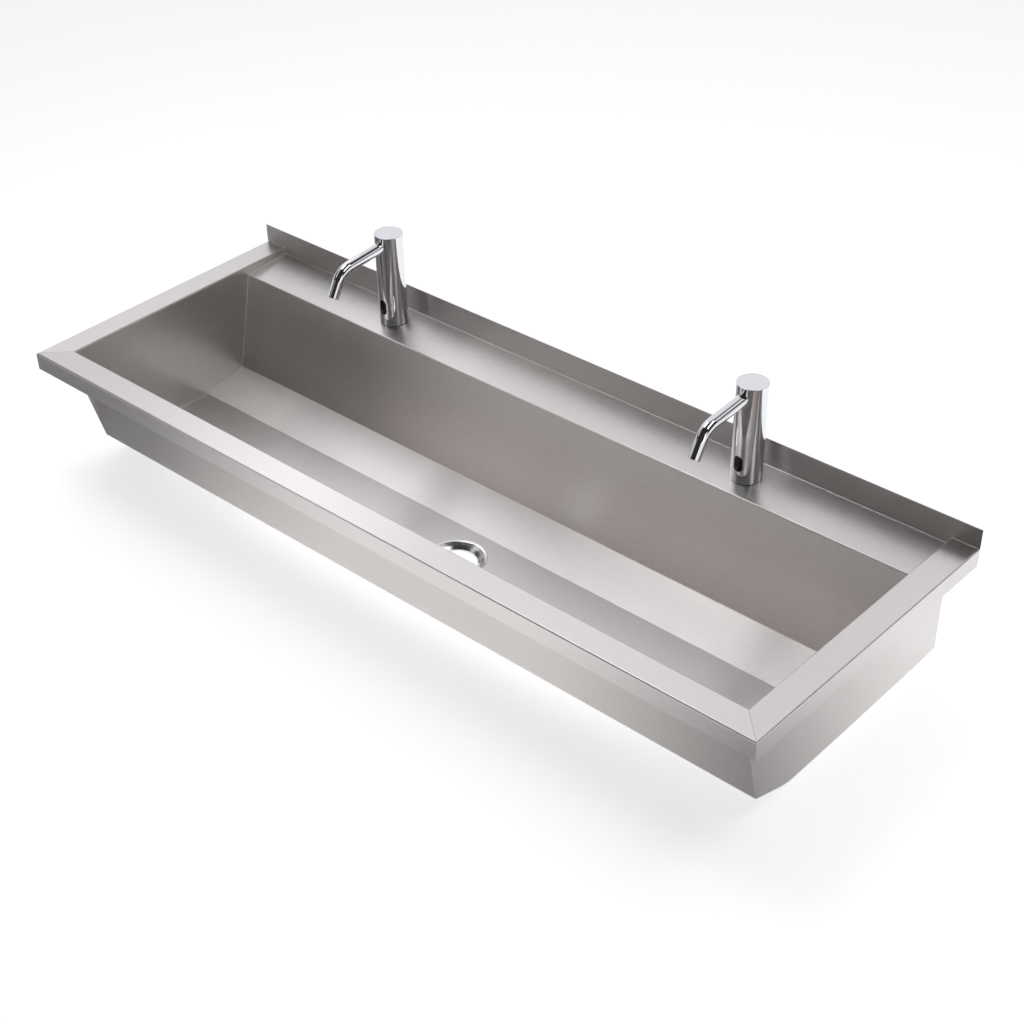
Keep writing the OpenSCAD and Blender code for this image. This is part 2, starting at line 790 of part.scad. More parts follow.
module fixing_nut() {
    color([0.8, 0.65, 0.3]) translate([0, 0, nut_base]) difference() {
        cylinder(d = nut_flats / cos(30), h = nut_height, $fn = 6);
        translate([0, 0, -1]) cylinder(r = shank_r + skim, h = nut_height + 2);
    }
}

module inlet_tube() {
    color([0.8, 0.5, 0.3]) difference() {
        union() {
            rod(inlet_tube_r, nipple_top, block_base + socket_depth);
            rod(nipple_r + 1, nipple_top - collar_t, nipple_top);
            rod(nipple_r, nipple_top - collar_t - nipple_length, nipple_top);
        }
        rod(inlet_bore_d / 2, -far, far);
    }
}

// Strainer cup pushed up into the nipple.
module inlet_filter() {
    cup_r = inlet_bore_d / 2 - skim;
    cup_top = nipple_top - collar_t - 2;
    color([0.9, 0.9, 0.85]) difference() {
        rod(cup_r, cup_top - 7, cup_top);
        rod(cup_r - 0.7, cup_top - 8, cup_top - 0.8);
        for (k = [0:5]) rotate([0, 0, 60 * k]) translate([cup_r * 0.5, 0, 0])
            rod(cup_r * 0.14, cup_top - 2, cup_top + 1, $fn = 16);
        rod(cup_r * 0.14, cup_top - 2, cup_top + 1, $fn = 16);
    }
}

// Rubber plug in the mouth of the shank, with holes for the tube and for the sensor's lead.
module lead_grommet() {
    plug_r = shank_bore_d / 2 - skim;
    lead_y = (plug_r + inlet_tube_r) / 2;
    lead_r = (plug_r - inlet_tube_r) * 0.3;
    color([0.12, 0.12, 0.12]) difference() {
        union() {
            rod(plug_r, -shank_drop, grommet_t - shank_drop);
            rod(plug_r + grommet_rim, -shank_drop - grommet_rim, -shank_drop);
        }
        rod(inlet_tube_r + skim, -far, far);
        translate([0, lead_y, 0]) rod(lead_r, -far, far);
    }
}

front_panel();
floor_panel();
back_panel();
end_panel(-1);  // left_end_panel
end_panel(1);  // right_end_panel
side_rim(-1);  // left_side_rim
side_rim(1);  // right_side_rim
waste_ring();
wall_bracket(-1);  // left_wall_bracket
wall_bracket(1);  // right_wall_bracket
bracket_studs();
bracket_nuts();

for (tap = [["left_", -1], ["right_", 1]]) at_tap(tap[1]) {
    tap_body();
    tap_cap();
    cap_seal();
    spout();
    aerator();
    sensor_window();
    sensor_module();
    outlet_elbow();
    riser_tube();
    valve_block();
    valve_bonnet();
    diaphragm();
    diaphragm_core();
    plunger();
    plunger_spring();
    solenoid_coil();
    shank();
    base_gasket();
    rubber_washer();
    clamp_washer();
    fixing_nut();
    inlet_tube();
    inlet_filter();
    lead_grommet();
}
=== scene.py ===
"""Looks of the wash trough: satin sheet, polished outlet and chrome sensor taps.

Metres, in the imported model's frame: +X along the trough, +Y into the wall, +Z up, and the origin
on the wall plane at mid length, level with the rim. Every new surface is worked out with numpy.
"""

import json
import math

import bpy
import numpy as np
from bpy.props import FloatProperty, FloatVectorProperty, PointerProperty
from bpy.types import Operator, Panel, PropertyGroup
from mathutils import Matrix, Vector


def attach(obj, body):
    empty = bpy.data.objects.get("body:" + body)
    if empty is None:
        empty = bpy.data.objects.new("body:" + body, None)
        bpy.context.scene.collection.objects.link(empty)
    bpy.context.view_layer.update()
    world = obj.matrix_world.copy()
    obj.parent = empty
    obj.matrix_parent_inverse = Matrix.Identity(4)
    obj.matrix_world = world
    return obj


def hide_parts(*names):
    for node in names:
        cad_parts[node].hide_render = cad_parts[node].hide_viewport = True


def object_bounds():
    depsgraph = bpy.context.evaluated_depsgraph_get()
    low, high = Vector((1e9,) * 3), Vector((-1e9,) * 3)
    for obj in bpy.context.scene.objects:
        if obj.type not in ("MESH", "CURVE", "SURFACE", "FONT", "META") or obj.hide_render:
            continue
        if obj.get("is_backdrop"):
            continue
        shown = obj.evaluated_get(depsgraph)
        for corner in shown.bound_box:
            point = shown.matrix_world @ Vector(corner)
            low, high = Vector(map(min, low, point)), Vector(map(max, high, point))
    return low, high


bl_info = {
    "name": "Wash trough",
    "version": (1, 0, 0),
    "blender": (4, 5, 0),
    "location": "View3D > Sidebar > Trough",
    "description": "Builds the visible surfaces and finishes of a wall-hung wash trough",
    "category": "Object",
}

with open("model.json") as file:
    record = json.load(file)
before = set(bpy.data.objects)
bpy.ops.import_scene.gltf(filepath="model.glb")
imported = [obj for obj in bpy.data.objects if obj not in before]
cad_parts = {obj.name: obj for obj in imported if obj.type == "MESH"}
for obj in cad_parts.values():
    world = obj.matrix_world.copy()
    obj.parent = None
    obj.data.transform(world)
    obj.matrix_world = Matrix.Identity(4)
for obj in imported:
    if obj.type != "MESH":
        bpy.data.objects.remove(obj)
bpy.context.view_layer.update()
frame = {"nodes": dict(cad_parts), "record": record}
ROOT = "trough"
SIDES = (("left", -1), ("right", 1))

RIM_DROP = 0.006  # leg of a side rim inside the bowl, down to the end panel
SEAM_EDGE = 0.00005  # hairline edge of a sheet that ends in a weld
SOFT_EDGE = 0.0004  # broken edge of a sheet's or a tube's free end
ROOT_DEPTH = 0.0003  # how far a corner weld's hidden root lies in the sheet
CELL = 0.00001  # points closer than this are welded into one
LEAST_AREA = 1e-13  # smaller triangles are dropped
QUARTER = math.pi / 2


# ---- settings ----

def size(name, default, about):
    """A length in metres."""
    return FloatProperty(name=name, description=about, default=default, unit="LENGTH",
                         subtype="DISTANCE", precision=5)


def colour(name, default, about):
    """A linear colour."""
    return FloatVectorProperty(name=name, description=about, default=default, size=3, min=0, max=1,
                               subtype="COLOR")


def share(name, default, about):
    """A plain number."""
    return FloatProperty(name=name, description=about, default=default, precision=4)


class TroughSettings(PropertyGroup):
    """Sizes of the folded trough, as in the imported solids."""
    length: size("Length", 1.5, "From end lip to end lip")
    depth: size("Depth", 0.535, "From the wall to the front lip")
    sheet: size("Sheet", 0.0015, "Thickness of the sheet")
    fold_radius: size("Fold radius", 0.0015, "Inside radius of the sharp folds")
    rim_width: size("Rim width", 0.0463, "Flat rim at the front and the ends")
    lip_height: size("Lip height", 0.031, "Lip turned down round the rim")
    upstand_height: size("Upstand height", 0.0333, "Above the rim")
    ledge_run: size("Ledge run", 0.0944, "From the wall to the ledge's front edge")
    ledge_drop: size("Ledge drop", 0.0126, "Ledge below the rim, at the wall")
    ledge_fall: size("Ledge fall", 0.0052, "Fall of the ledge towards the bowl")
    bowl_depth: size("Bowl depth", 0.2095, "From the rim to the level floor strip")
    front_lean: size("Front lean", 0.0347, "How far the front wall leans in")
    front_foot_rise: size("Front foot rise", 0.025, "Foot of the front wall above the floor strip")
    front_slope_run: size("Front slope run", 0.074, "Sloped bottom under the front wall")
    floor_bend_radius: size("Floor bend radius", 0.11, "Bend between that slope and the floor strip")
    strip_run: size("Strip run", 0.1555, "Level strip that holds the outlet")
    rear_floor_rise: size("Rear floor rise", 0.0172, "Rise of the floor to the back wall")
    back_lean: size("Back lean", 0.0403, "How far the back wall leans back")
    rear_corner_rise: size("Rear corner rise", 0.0045, "End panel's rear corner above the underside")
    end_return: size("End return", 0.018, "Return along the rear edge of each end panel")
    weld_radius: size("Weld radius", 0.00145, "Polished fillet of the corner welds")
    steel: colour("Steel", (0.74, 0.710, 0.697), "Satin stainless steel")
    steel_roughness: share("Steel roughness", 0.33, "Roughness of the satin finish")
    brushed: share("Brushed", 0.65, "How far reflections are drawn out across the grain")


class OutletSettings(PropertyGroup):
    """Sizes of the waste outlet."""
    flange_d: size("Flange diameter", 0.1, "Outside of the polished flange")
    flange_t: size("Flange thickness", 0.001, "Thickness on the floor")
    seat_d: size("Hole diameter", 0.092, "Hole in the floor sheet")
    bore_d: size("Bore diameter", 0.068, "Clear bore")
    dish_depth: size("Dish depth", 0.008, "Dish below the floor")
    bore_length: size("Bore length", 0.003, "Straight bore under the dish")
    setback: size("Setback", 0.297, "From the wall to the outlet's axis")
    wall: size("Wall", 0.0012, "Wall of the dish")
    polish: colour("Polish", (0.80, 0.80, 0.80), "Polished steel")


class TapSettings(PropertyGroup):
    """Sizes of one sensor tap."""
    pitch: size("Pitch", 0.754, "Between the two tap axes")
    setback: size("Setback", 0.044, "From the wall to the axes")
    height: size("Height", 0.166, "Body above the ledge")
    diameter: size("Diameter", 0.0495, "Body")
    wall: size("Wall", 0.003, "Wall of the body")
    gasket: size("Gasket", 0.0008, "Gasket under the body")
    cap_t: size("Cap thickness", 0.0028, "Flush top cap")
    cap_wall: size("Cap wall", 0.0012, "Wall left round the cap")
    edge: size("Edge radius", 0.0005, "Rounding of the top edge")
    spout_d: size("Spout diameter", 0.0195, "Spout tube")
    spout_wall: size("Spout wall", 0.0015, "Wall of the spout tube")
    spout_below_top: size("Spout below top", 0.0176, "Spout's axis below the body's top")
    spout_fall: share("Spout fall", 4.2, "Fall of the arm below level, in degrees")
    spout_end_slope: share("Spout end slope", 60.0, "Slope of the tail below level, in degrees")
    spout_bend: size("Spout bend", 0.036, "Bend radius of the tube's axis")
    spout_arm: size("Spout arm", 0.095, "Straight arm, from the body's axis")
    spout_tail: size("Spout tail", 0.0274, "Straight tail after the bend")
    spout_start: size("Spout start", 0.017, "Where the tube starts inside the body")
    window_w: size("Window width", 0.0155, "Sensor window")
    window_h: size("Window height", 0.0277, "Sensor window")
    window_z: size("Window centre", 0.034, "Window's centre above the ledge")
    window_sink: size("Window sink", 0.0002, "How far the window lies below the surface")
    window_depth: size("Window depth", 0.0036, "Thickness of the window")
    chrome: colour("Chrome", (0.80, 0.80, 0.83), "Chrome plate")
    glass: colour("Window", (0.003, 0.003, 0.004), "Black window")


class StageSettings(PropertyGroup):
    """Camera, lamps and floor."""
    eye: FloatVectorProperty(name="Eye", description="Camera position", size=3, subtype="TRANSLATION",
                             unit="LENGTH", precision=5, default=(1.66906, -1.97788, 1.55904))
    turn: FloatVectorProperty(name="Turn", description="Camera angles", size=3, subtype="EULER",
                              precision=5, default=(0.900318, 0.0353547, 0.750378))
    lens: share("Lens", 63.983, "Focal length in millimetres on a 36 mm sensor")
    shift_x: share("Shift X", 0.0469, "Sideways shift of the frame")
    shift_y: share("Shift Y", 0.0957, "Upward shift of the frame")
    floor: colour("Floor", (0.885, 0.90, 0.91), "Pale floor")
    floor_white: share("Floor white", 0.66, "White that the floor shows to the eye and in reflections")
    room: share("Room", 0.03, "Light of the dim side of the room")
    room_tone: colour("Room tone", (1.0, 0.92, 0.87), "Warm tone of the dim side")
    wall: share("Wall", 0.92, "Light of the pale wall behind and to the left")
    wall_tone: colour("Wall tone", (0.975, 0.975, 1.0), "Cool tone of that wall")
    wall_way: FloatVectorProperty(name="Wall direction", description="Towards the middle of that wall",
                                  size=3, subtype="DIRECTION", default=(-0.561, 0.623, 0.545))
    right_lamp: share("Right lamp", 11.9, "Soft box high at the right, in watts")
    high_lamp: share("High lamp", 10.0, "Soft box high at the left, in watts")
    left_lamp: share("Left lamp", 2.5, "Long soft box over the left end, in watts")
    right_strip: share("Right strip", 2.0, "Upright strip box low at the right, in watts")
    front_strip: share("Front strip", 0.7, "Upright strip box low at the left of the camera, in watts")
    back_card: share("Back card", 2.1, "Dim soft box behind and to the right, in watts")
    lamp_tone: colour("Lamp tone", (0.98, 0.985, 1.0), "Cool tone of the lamps")
    # painted shade: how dark two black floor cards, seen only in reflections, make the floor there
    painted_shade_dark: share("Painted floor shade", 0.82, "How dark the two soft-edged floor cards are in reflections")


# ---- surfaces ----

def xyz(*parts):
    """Numbers and arrays, broadcast to one shape and stacked as coordinates."""
    return np.stack(np.broadcast_arrays(*parts), -1)


def plate(x, flat):
    """Points (y, z) of a flat pattern at the place x along the trough."""
    return xyz(x, flat[..., 0], flat[..., 1])


def closed(array):
    """The same rows with the first one repeated at the end."""
    return np.concatenate([array, array[:1]])


def stand(name, data):
    """A new object in the scene."""
    item = bpy.data.objects.new(name, data)
    bpy.context.scene.collection.objects.link(item)
    return item


class Shell:
    """Collects grids of points with their normals and welds them into one closed mesh."""

    def __init__(self):
        self.points, self.normals, self.tris = [], [], []
        self.count = 0

    def grid(self, points, normals=None, outward=None):
        """Adds a grid (rows, columns, 3). Each cell is two triangles, turned so that they face the way of
        the normals, which shade them smoothly. Without normals they are shaded flat, and outward, one
        direction or a grid of them, says which side is outside."""
        smooth = normals is not None
        guide = np.asarray(normals if smooth else outward, float)
        guide = np.broadcast_to(guide, points.shape).reshape(-1, 3)
        rows, cols = points.shape[:2]
        points = points.reshape(-1, 3)
        index = np.arange(rows * cols).reshape(rows, cols)
        a, b = index[:-1, :-1].ravel(), index[1:, :-1].ravel()
        c, d = index[1:, 1:].ravel(), index[:-1, 1:].ravel()
        tris = np.concatenate([np.stack([a, b, c], 1), np.stack([a, c, d], 1)])
        corner = points[tris]
        facing = np.cross(corner[:, 1] - corner[:, 0], corner[:, 2] - corner[:, 0])
        area = np.linalg.norm(facing, axis=1)
        keep = area > LEAST_AREA
        tris, facing, area = tris[keep], facing[keep], area[keep]
        away = (facing * guide[tris].mean(axis=1)).sum(axis=1) < 0
        tris[away] = tris[away][:, ::-1]
        facing[away] *= -1
        flat = np.repeat((facing / area[:, None])[:, None], 3, axis=1)
        self.points.append(points)
        self.tris.append(tris + self.count)
        self.normals.append(guide[tris] if smooth else flat)
        self.count += len(points)
        return self

    def cover(self, loop, outward):
        """Closes the end of a sheet whose outline runs out on one side and back on the other: a strip
        joins the points that lie opposite each other."""
        half = len(loop) // 2
        return self.strip(loop[:half], loop[half:][::-1], outward)

    def strip(self, row, other, outward):
        """Joins a row of points to another, or to one point."""
        return self.grid(np.stack([row, np.broadcast_to(other, row.shape)], 1), outward=outward)

    def build(self, name, slot, replaces=(), finish=None, grain=(0, (1, 2))):
        """Welds the grids' points, makes the mesh, links it under the trough's body empty and hides the
        nodes that it replaces. The finish is the slot's own unless one is named. grain gives the axis along
        which the sheet is brushed and the two that cross it; its UV map runs across the grain first."""
        points = np.concatenate(self.points)
        tris = np.concatenate(self.tris)
        normals = np.concatenate(self.normals)
        if not (np.isfinite(points).all() and np.isfinite(normals).all()):
            raise RuntimeError(f"{name}: a point or a normal is not a number")
        # the odd offset keeps round sizes away from the cells' edges
        cell = np.round(points / CELL + 0.137).astype(np.int64)
        _, first, weld = np.unique(cell, axis=0, return_index=True, return_inverse=True)
        tris, points = weld.ravel()[tris], points[first]
        whole = (tris != np.roll(tris, 1, axis=1)).all(axis=1)
        tris, normals = tris[whole], normals[whole]
        _, single = np.unique(np.sort(tris, axis=1), axis=0, return_index=True)
        single.sort()
        tris, normals = tris[single], normals[single]
        mesh = bpy.data.meshes.new(name)
        mesh.from_pydata(points.tolist(), [], tris.tolist())
        mesh.polygons.foreach_set("use_smooth", np.ones(len(tris), bool))
        length = np.linalg.norm(normals, axis=2, keepdims=True)
        mesh.normals_split_custom_set((normals / np.maximum(length, 1e-12)).reshape(-1, 3).tolist())
        corner = points[tris.ravel()]
        along, (across, other) = grain
        flat = np.stack([corner[:, across] + 0.7 * corner[:, other], corner[:, along]], 1)
        mesh.uv_layers.new(name="grain").data.foreach_set("uv", flat.ravel())
        mesh.materials.append(FINISHES[finish or slot])
        mesh.update()
        piece = stand(name, mesh)
        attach(piece, ROOT)
        if replaces:
            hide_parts(*replaces)


def rounded(corners, radii, steps=8):
    """A closed outline with each corner replaced by an arc of its own radius: the arc's centre lies on
    the corner's bisector and it meets both sides tangentially. Returns points and normals to the right
    of the way round, which is outside where the corners run anticlockwise."""
    corners, radii = np.asarray(corners, float), np.asarray(radii, float)
    before = corners - np.roll(corners, 1, axis=0)
    after = np.roll(corners, -1, axis=0) - corners
    before /= np.linalg.norm(before, axis=1, keepdims=True)
    after /= np.linalg.norm(after, axis=1, keepdims=True)
    cross = before[:, 0] * after[:, 1] - before[:, 1] * after[:, 0]
    turn = np.arctan2(cross, (before * after).sum(axis=1))
    bend = np.where(turn >= 0, 1.0, -1.0) * radii
    left = np.stack([-before[:, 1], before[:, 0]], 1)
    setback = radii * np.tan(np.abs(turn) / 2)
    centre = corners - before * setback[:, None] + left * bend[:, None]
    angle = turn[:, None] * np.linspace(0, 1, steps + 1)
    cos, sin = np.cos(angle), np.sin(angle)
    x, y = -left[:, :1], -left[:, 1:]
    normal = xyz(x * cos - y * sin, x * sin + y * cos)
    points = centre[:, None] + normal * bend[:, None, None]
    return points.reshape(-1, 2), normal.reshape(-1, 2)


# the fold lines in order, from the front lip to the top of the upstand
(LIP, RIM_FRONT, RIM_EDGE, FRONT_FOOT, FLOOR_BEND, FLOOR_SEAM, CREASE, BACK_SEAM, LEDGE_EDGE, LEDGE_BACK,
 TOP) = range(11)


class Fold:
    """The trough's cross-section: fold lines in (y, z) on the visible side, with the sheet behind them."""

    def __init__(self, s):
        rim_in = s.rim_width - s.depth
        foot = rim_in + s.front_lean
        strip = foot + s.front_slope_run
        slope = math.atan(s.front_foot_rise / s.front_slope_run)
        past_bend = 0.012  # level sheet between the floor bend and the seam
        seam = s.floor_bend_radius * math.tan(slope / 2) + past_bend
        deep = -s.bowl_depth
        self.sheet = s.sheet
        self.radius = s.fold_radius
        self.big_radius = s.floor_bend_radius
        self.half_bowl = s.length / 2 - s.rim_width
        self.line = np.array([
            (-s.depth, -s.lip_height), (-s.depth, 0), (rim_in, 0), (foot, s.front_foot_rise + deep),
            (strip, deep), (strip + seam, deep), (strip + s.strip_run, deep),
            (-s.ledge_run - s.back_lean, s.rear_floor_rise + deep),
            (-s.ledge_run, -s.ledge_drop - s.ledge_fall),
            (-s.sheet, -s.ledge_drop), (-s.sheet, s.upstand_height)])
        step = np.diff(self.line, axis=0)
        self.along = step / np.linalg.norm(step, axis=1, keepdims=True)
        self.right = np.stack([self.along[:, 1], -self.along[:, 0]], 1)

    def sides(self, i):
        """Right-hand normals before and after fold line i."""
        return self.right[max(i - 1, LIP)], self.right[min(i, TOP - 1)]

    def hidden(self, i):
        """Fold line i moved to the sheet's hidden side, along the mitre."""
        a, b = self.sides(i)
        return self.line[i] + (a + b) * self.sheet / (1 + a @ b)

    def radii(self, i):
        """Visible and hidden radii of fold i: the inside of a left turn is the visible side."""
        (ay, az), (by, bz) = self.sides(i)
        inside = self.big_radius if i == FLOOR_BEND else self.radius
        radii = (inside, inside + self.sheet)
        return radii if ay * bz - az * by > 0 else radii[::-1]

    def outline(self, first, last, extra=()):
        """Closed outline of one panel: its fold lines on the visible side, and the same moved through the
        sheet. Ends at seams get a hairline edge, free ends a soft one. Points of extra, as (fold line
        after which they come, y, z), are kept on the visible side and behind it."""
        seen, back = [], []
        for i in range(first, last + 1):
            end_radius = SOFT_EDGE if i in (LIP, TOP) else SEAM_EDGE
            near, far = (end_radius, end_radius) if i in (first, last) else self.radii(i)
            seen.append((self.line[i], near))
            back.append((self.hidden(i), far))
            for after, y, z in extra:
                if after == i:
                    seen.append((np.array((y, z)), 0.0))
                    back.append((np.array((y, z)) + self.right[i] * self.sheet, 0.0))
        # with the sheet on the right of its fold lines, the outline runs back along them first
        return rounded(*zip(*back, *seen[::-1]))


def carry(points, normals, stations, axis=0):
    """Carries an outline, given in the two directions other than axis, to stations along that axis. Each
    point may have stations of its own, so that an end can be mitred."""
    stations = np.broadcast_to(stations, (len(points), np.shape(stations)[-1]))
    place, way = [points[:, :1], points[:, 1:]], [normals[:, :1], normals[:, 1:]]
    place.insert(axis, stations)
    way.insert(axis, 0 * stations)
    return xyz(*place), xyz(*way)


def prism(shell, points, normals, stations, axis=0):
    """A closed outline carried between two stations along an axis, with a cover at each end."""
    p, n = carry(points, normals, stations, axis)
    way = np.eye(3)[axis]
    return shell.grid(closed(p), closed(n)).cover(p[:, 0], -way).cover(p[:, 1], way)


def bead(path, up, half, height, sink=0.0002):
    """A low weld bead along a path: across it the top is a parabola, and the underside lies in the sheet."""
    along = np.gradient(path, axis=0)
    along /= np.linalg.norm(along, axis=1, keepdims=True)
    up = up - (up * along).sum(axis=1, keepdims=True) * along
    up /= np.linalg.norm(up, axis=1, keepdims=True)
    across = np.cross(along, up)[:, None]
    up = up[:, None]
    t = np.linspace(-1, 1, 9)[:, None]
    top = path[:, None] + across * half * t + up * height * (1 - t ** 2)
    low = path[:, None] - across * half * t - up * sink
    top_n = up + across * (2 * height / half) * t
    low_n = np.broadcast_to(-up, low.shape)
    shell = Shell().grid(np.concatenate([top, low, top[:, :1]], 1),
                         np.concatenate([top_n, low_n, top_n[:, :1]], 1))
    for k, way in ((0, -1), (-1, 1)):
        shell.strip(top[k], low[k][::-1], along[k] * way)
    return shell


def lathe(shell, profile, normals, centre, angles, lift=None):
    """Turns a profile of (radius, height) about a vertical axis: x = r sin a, y = -r cos a. lift, if any,
    gives each point a further height from its place."""
    sin, cos = np.sin(angles), np.cos(angles)
    r, h, out, up = profile[:, :1], profile[:, 1:], normals[:, :1], normals[:, 1:]
    z = h + lift(h, -r * cos) if lift else h
    return shell.grid(xyz(r * sin, -r * cos, z) + centre, xyz(out * sin, -out * cos, up))


def ring_patch(outer_u, outer_v, outline, layers):
    """A frame between a rectangle, whose four sides carry the samples outer_u and outer_v, and a closed
    outline inside it: straight lines join matching samples, as a share t from the outline outwards."""
    bottom, top = xyz(outer_u, outer_v[0]), xyz(outer_u[::-1], outer_v[-1])
    right, left = xyz(outer_u[-1], outer_v), xyz(outer_u[0], outer_v[::-1])
    box = np.concatenate([bottom[:-1], right[:-1], top[:-1], left])
    inner = outline(np.linspace(0, 1, len(box)))
    t = np.linspace(0, 1, layers + 1)[:, None]
    return inner[:, None] * (1 - t) + box[:, None] * t


def stadium(cu, cv, width, height):
    """Two half circles joined by straight sides, or a circle where the sizes are equal, as a function of
    a share 0 to 1 from the lower left. The quarters of the share follow a frame's sides: the first and
    third lie on quarter turns, the others on a straight side with the eighth turns next to it."""
    r, half = width / 2, (height - width) / 2
    eighth = r * math.pi / 4

    def at(share_round):
        quarter = np.minimum(np.floor(share_round * 4), 3).astype(int)
        f = share_round * 4 - quarter
        arc = QUARTER * f - 0.75 * math.pi
        low = xyz(r * np.cos(arc), r * np.sin(arc) - half)
        run = f * (2 * eighth + 2 * half)
        a = np.where(run < eighth, run / r - math.pi / 4, np.maximum(run - eighth - 2 * half, 0) / r)
        side = xyz(r * np.cos(a), np.clip(run - eighth, 0, 2 * half) - half + r * np.sin(a))
        way = np.where(quarter < 2, 1, -1)[:, None]
        return way * np.where(quarter[:, None] % 2 == 0, low, side) + (cu, cv)
    return at


# ---- finishes ----

FINISHES = {}


def plug(node, name, value):
    """Links a node's input to another node's output, or sets its constant."""
    if isinstance(value, bpy.types.NodeSocket):
        node.id_data.links.new(value, node.inputs[name])
    else:
        node.inputs[name].default_value = value


def node_of(tree, kind, output, *parts, **values):
    """Adds a node and returns one of its outputs. values are its properties, and its inputs by name;
    parts are its inputs in order."""
    node = tree.nodes.new("ShaderNode" + kind)
    for key, value in values.items():
        if hasattr(node, key):
            setattr(node, key, value)
        else:
            plug(node, key.replace("_", " "), value)
    for index, value in enumerate(parts):
        plug(node, index, value)
    return node.outputs[output]


def plain_material(name):
    """A new material, its nodes and its shader."""
    material = bpy.data.materials.new(name)
    material.use_nodes = True
    return material, material.node_tree, material.node_tree.nodes["Principled BSDF"]


def grain(tree, stretch, scale, detail=3.0):
    """Noise on Object coordinates, drawn out along the grain by the stretch of the Mapping node."""
    place = node_of(tree, "TexCoord", "Object")
    drawn = node_of(tree, "Mapping", "Vector", Vector=place, Scale=stretch)
    return node_of(tree, "TexNoise", "Fac", Vector=drawn, Scale=scale, Detail=detail)


def spread(tree, fac, low, high):
    """Maps a factor of 0.3 to 0.7 onto low to high."""
    return node_of(tree, "MapRange", "Result", Value=fac, From_Min=0.3, From_Max=0.7,
                   To_Min=low, To_Max=high)


def finish_of(name, base, rough, metal=1.0, stretch=(60, 60, 60), scale=3.0, rough_swing=0.15,
              tone_swing=0.03, bump=0.0, cloud=0.0, gloss=0.5, brushed=0.0):
    """A finish whose tone, roughness and relief follow a fine grain, with slow clouds in the roughness.
    brushed draws reflections out across the grain, along the first direction of the UV map."""
    material, tree, shader = plain_material(name)
    material.diffuse_color = (*base, 1)
    fine = grain(tree, stretch, scale)
    dark = (*[c * (1 - tone_swing) for c in base], 1)
    light = (*[min(c * (1 + tone_swing), 1) for c in base], 1)
    tone = node_of(tree, "Mix", "Result", data_type="RGBA", A=dark, B=light, Factor=fine)
    level = spread(tree, fine, rough * (1 - rough_swing), rough * (1 + rough_swing))
    if cloud:
        slow = spread(tree, grain(tree, (1, 1, 1), 5.0, 2.0), -cloud, cloud)
        level = node_of(tree, "Math", "Value", level, slow, operation="ADD")
    plug(shader, "Metallic", metal)
    plug(shader, "Base Color", tone)
    plug(shader, "Roughness", level)
    plug(shader, "Specular IOR Level", gloss)
    if brushed:
        across = node_of(tree, "Tangent", "Tangent", direction_type="UV_MAP", uv_map="grain")
        plug(shader, "Anisotropic", brushed)
        plug(shader, "Tangent", across)
    if bump:
        relief = node_of(tree, "Bump", "Normal", Strength=bump, Distance=0.0001, Height=fine)
        plug(shader, "Normal", relief)
    return material


def painted_shade_card(name, heart, core, reach, dark):
    """A black card, seen only in reflections, that paints shade on the floor there: densest round its heart
    and fading out towards its reach.
    """
    material, tree, shader = plain_material(name)
    place = node_of(tree, "TexCoord", "Object")
    away = node_of(tree, "VectorMath", "Value", place, heart, operation="DISTANCE")
    fade = node_of(tree, "MapRange", "Result", interpolation_type="SMOOTHSTEP", Value=away,
                   From_Min=core, From_Max=reach, To_Min=dark, To_Max=0.0)
    plug(shader, "Base Color", (0.02, 0.02, 0.02, 1))
    plug(shader, "Roughness", 1.0)
    plug(shader, "Alpha", fade)
    return material


def pale_floor(name, base, white):
    """A matt floor that keeps shadows, with a plain white added for the eye and for reflections."""
    material, tree, shader = plain_material(name)
    path = tree.nodes.new("ShaderNodeLightPath").outputs
    seen = path["Is Camera Ray"]
    for kind in ("Is Glossy Ray", "Is Transmission Ray"):
        seen = node_of(tree, "Math", "Value", seen, path[kind], operation="MAXIMUM")
    plug(shader, "Roughness", 0.9)
    plug(shader, "Base Color", (*base, 1))
    plug(shader, "Emission Color", (white, white, white, 1))
    plug(shader, "Emission Strength", seen)
    return material


# ---- operators ----

def trough_of(context):
    """The trough's settings and its cross-section."""
    s = context.scene.trough_sizes
    return s, Fold(s)


def taps_of(context):
    """The taps' settings, the slope of the ledge under them, and each one's side and foot."""
    s, fold = trough_of(context)
    t = context.scene.tap_sizes
    (edge_y, edge_z), (back_y, back_z) = fold.line[LEDGE_EDGE], fold.line[LEDGE_BACK]
    slope = (back_z - edge_z) / (back_y - edge_y)
    foot_z = back_z - slope * (t.setback - s.sheet)
    feet = [(name, np.array((side * t.pitch / 2, -t.setback, foot_z))) for name, side in SIDES]
    return t, slope, feet


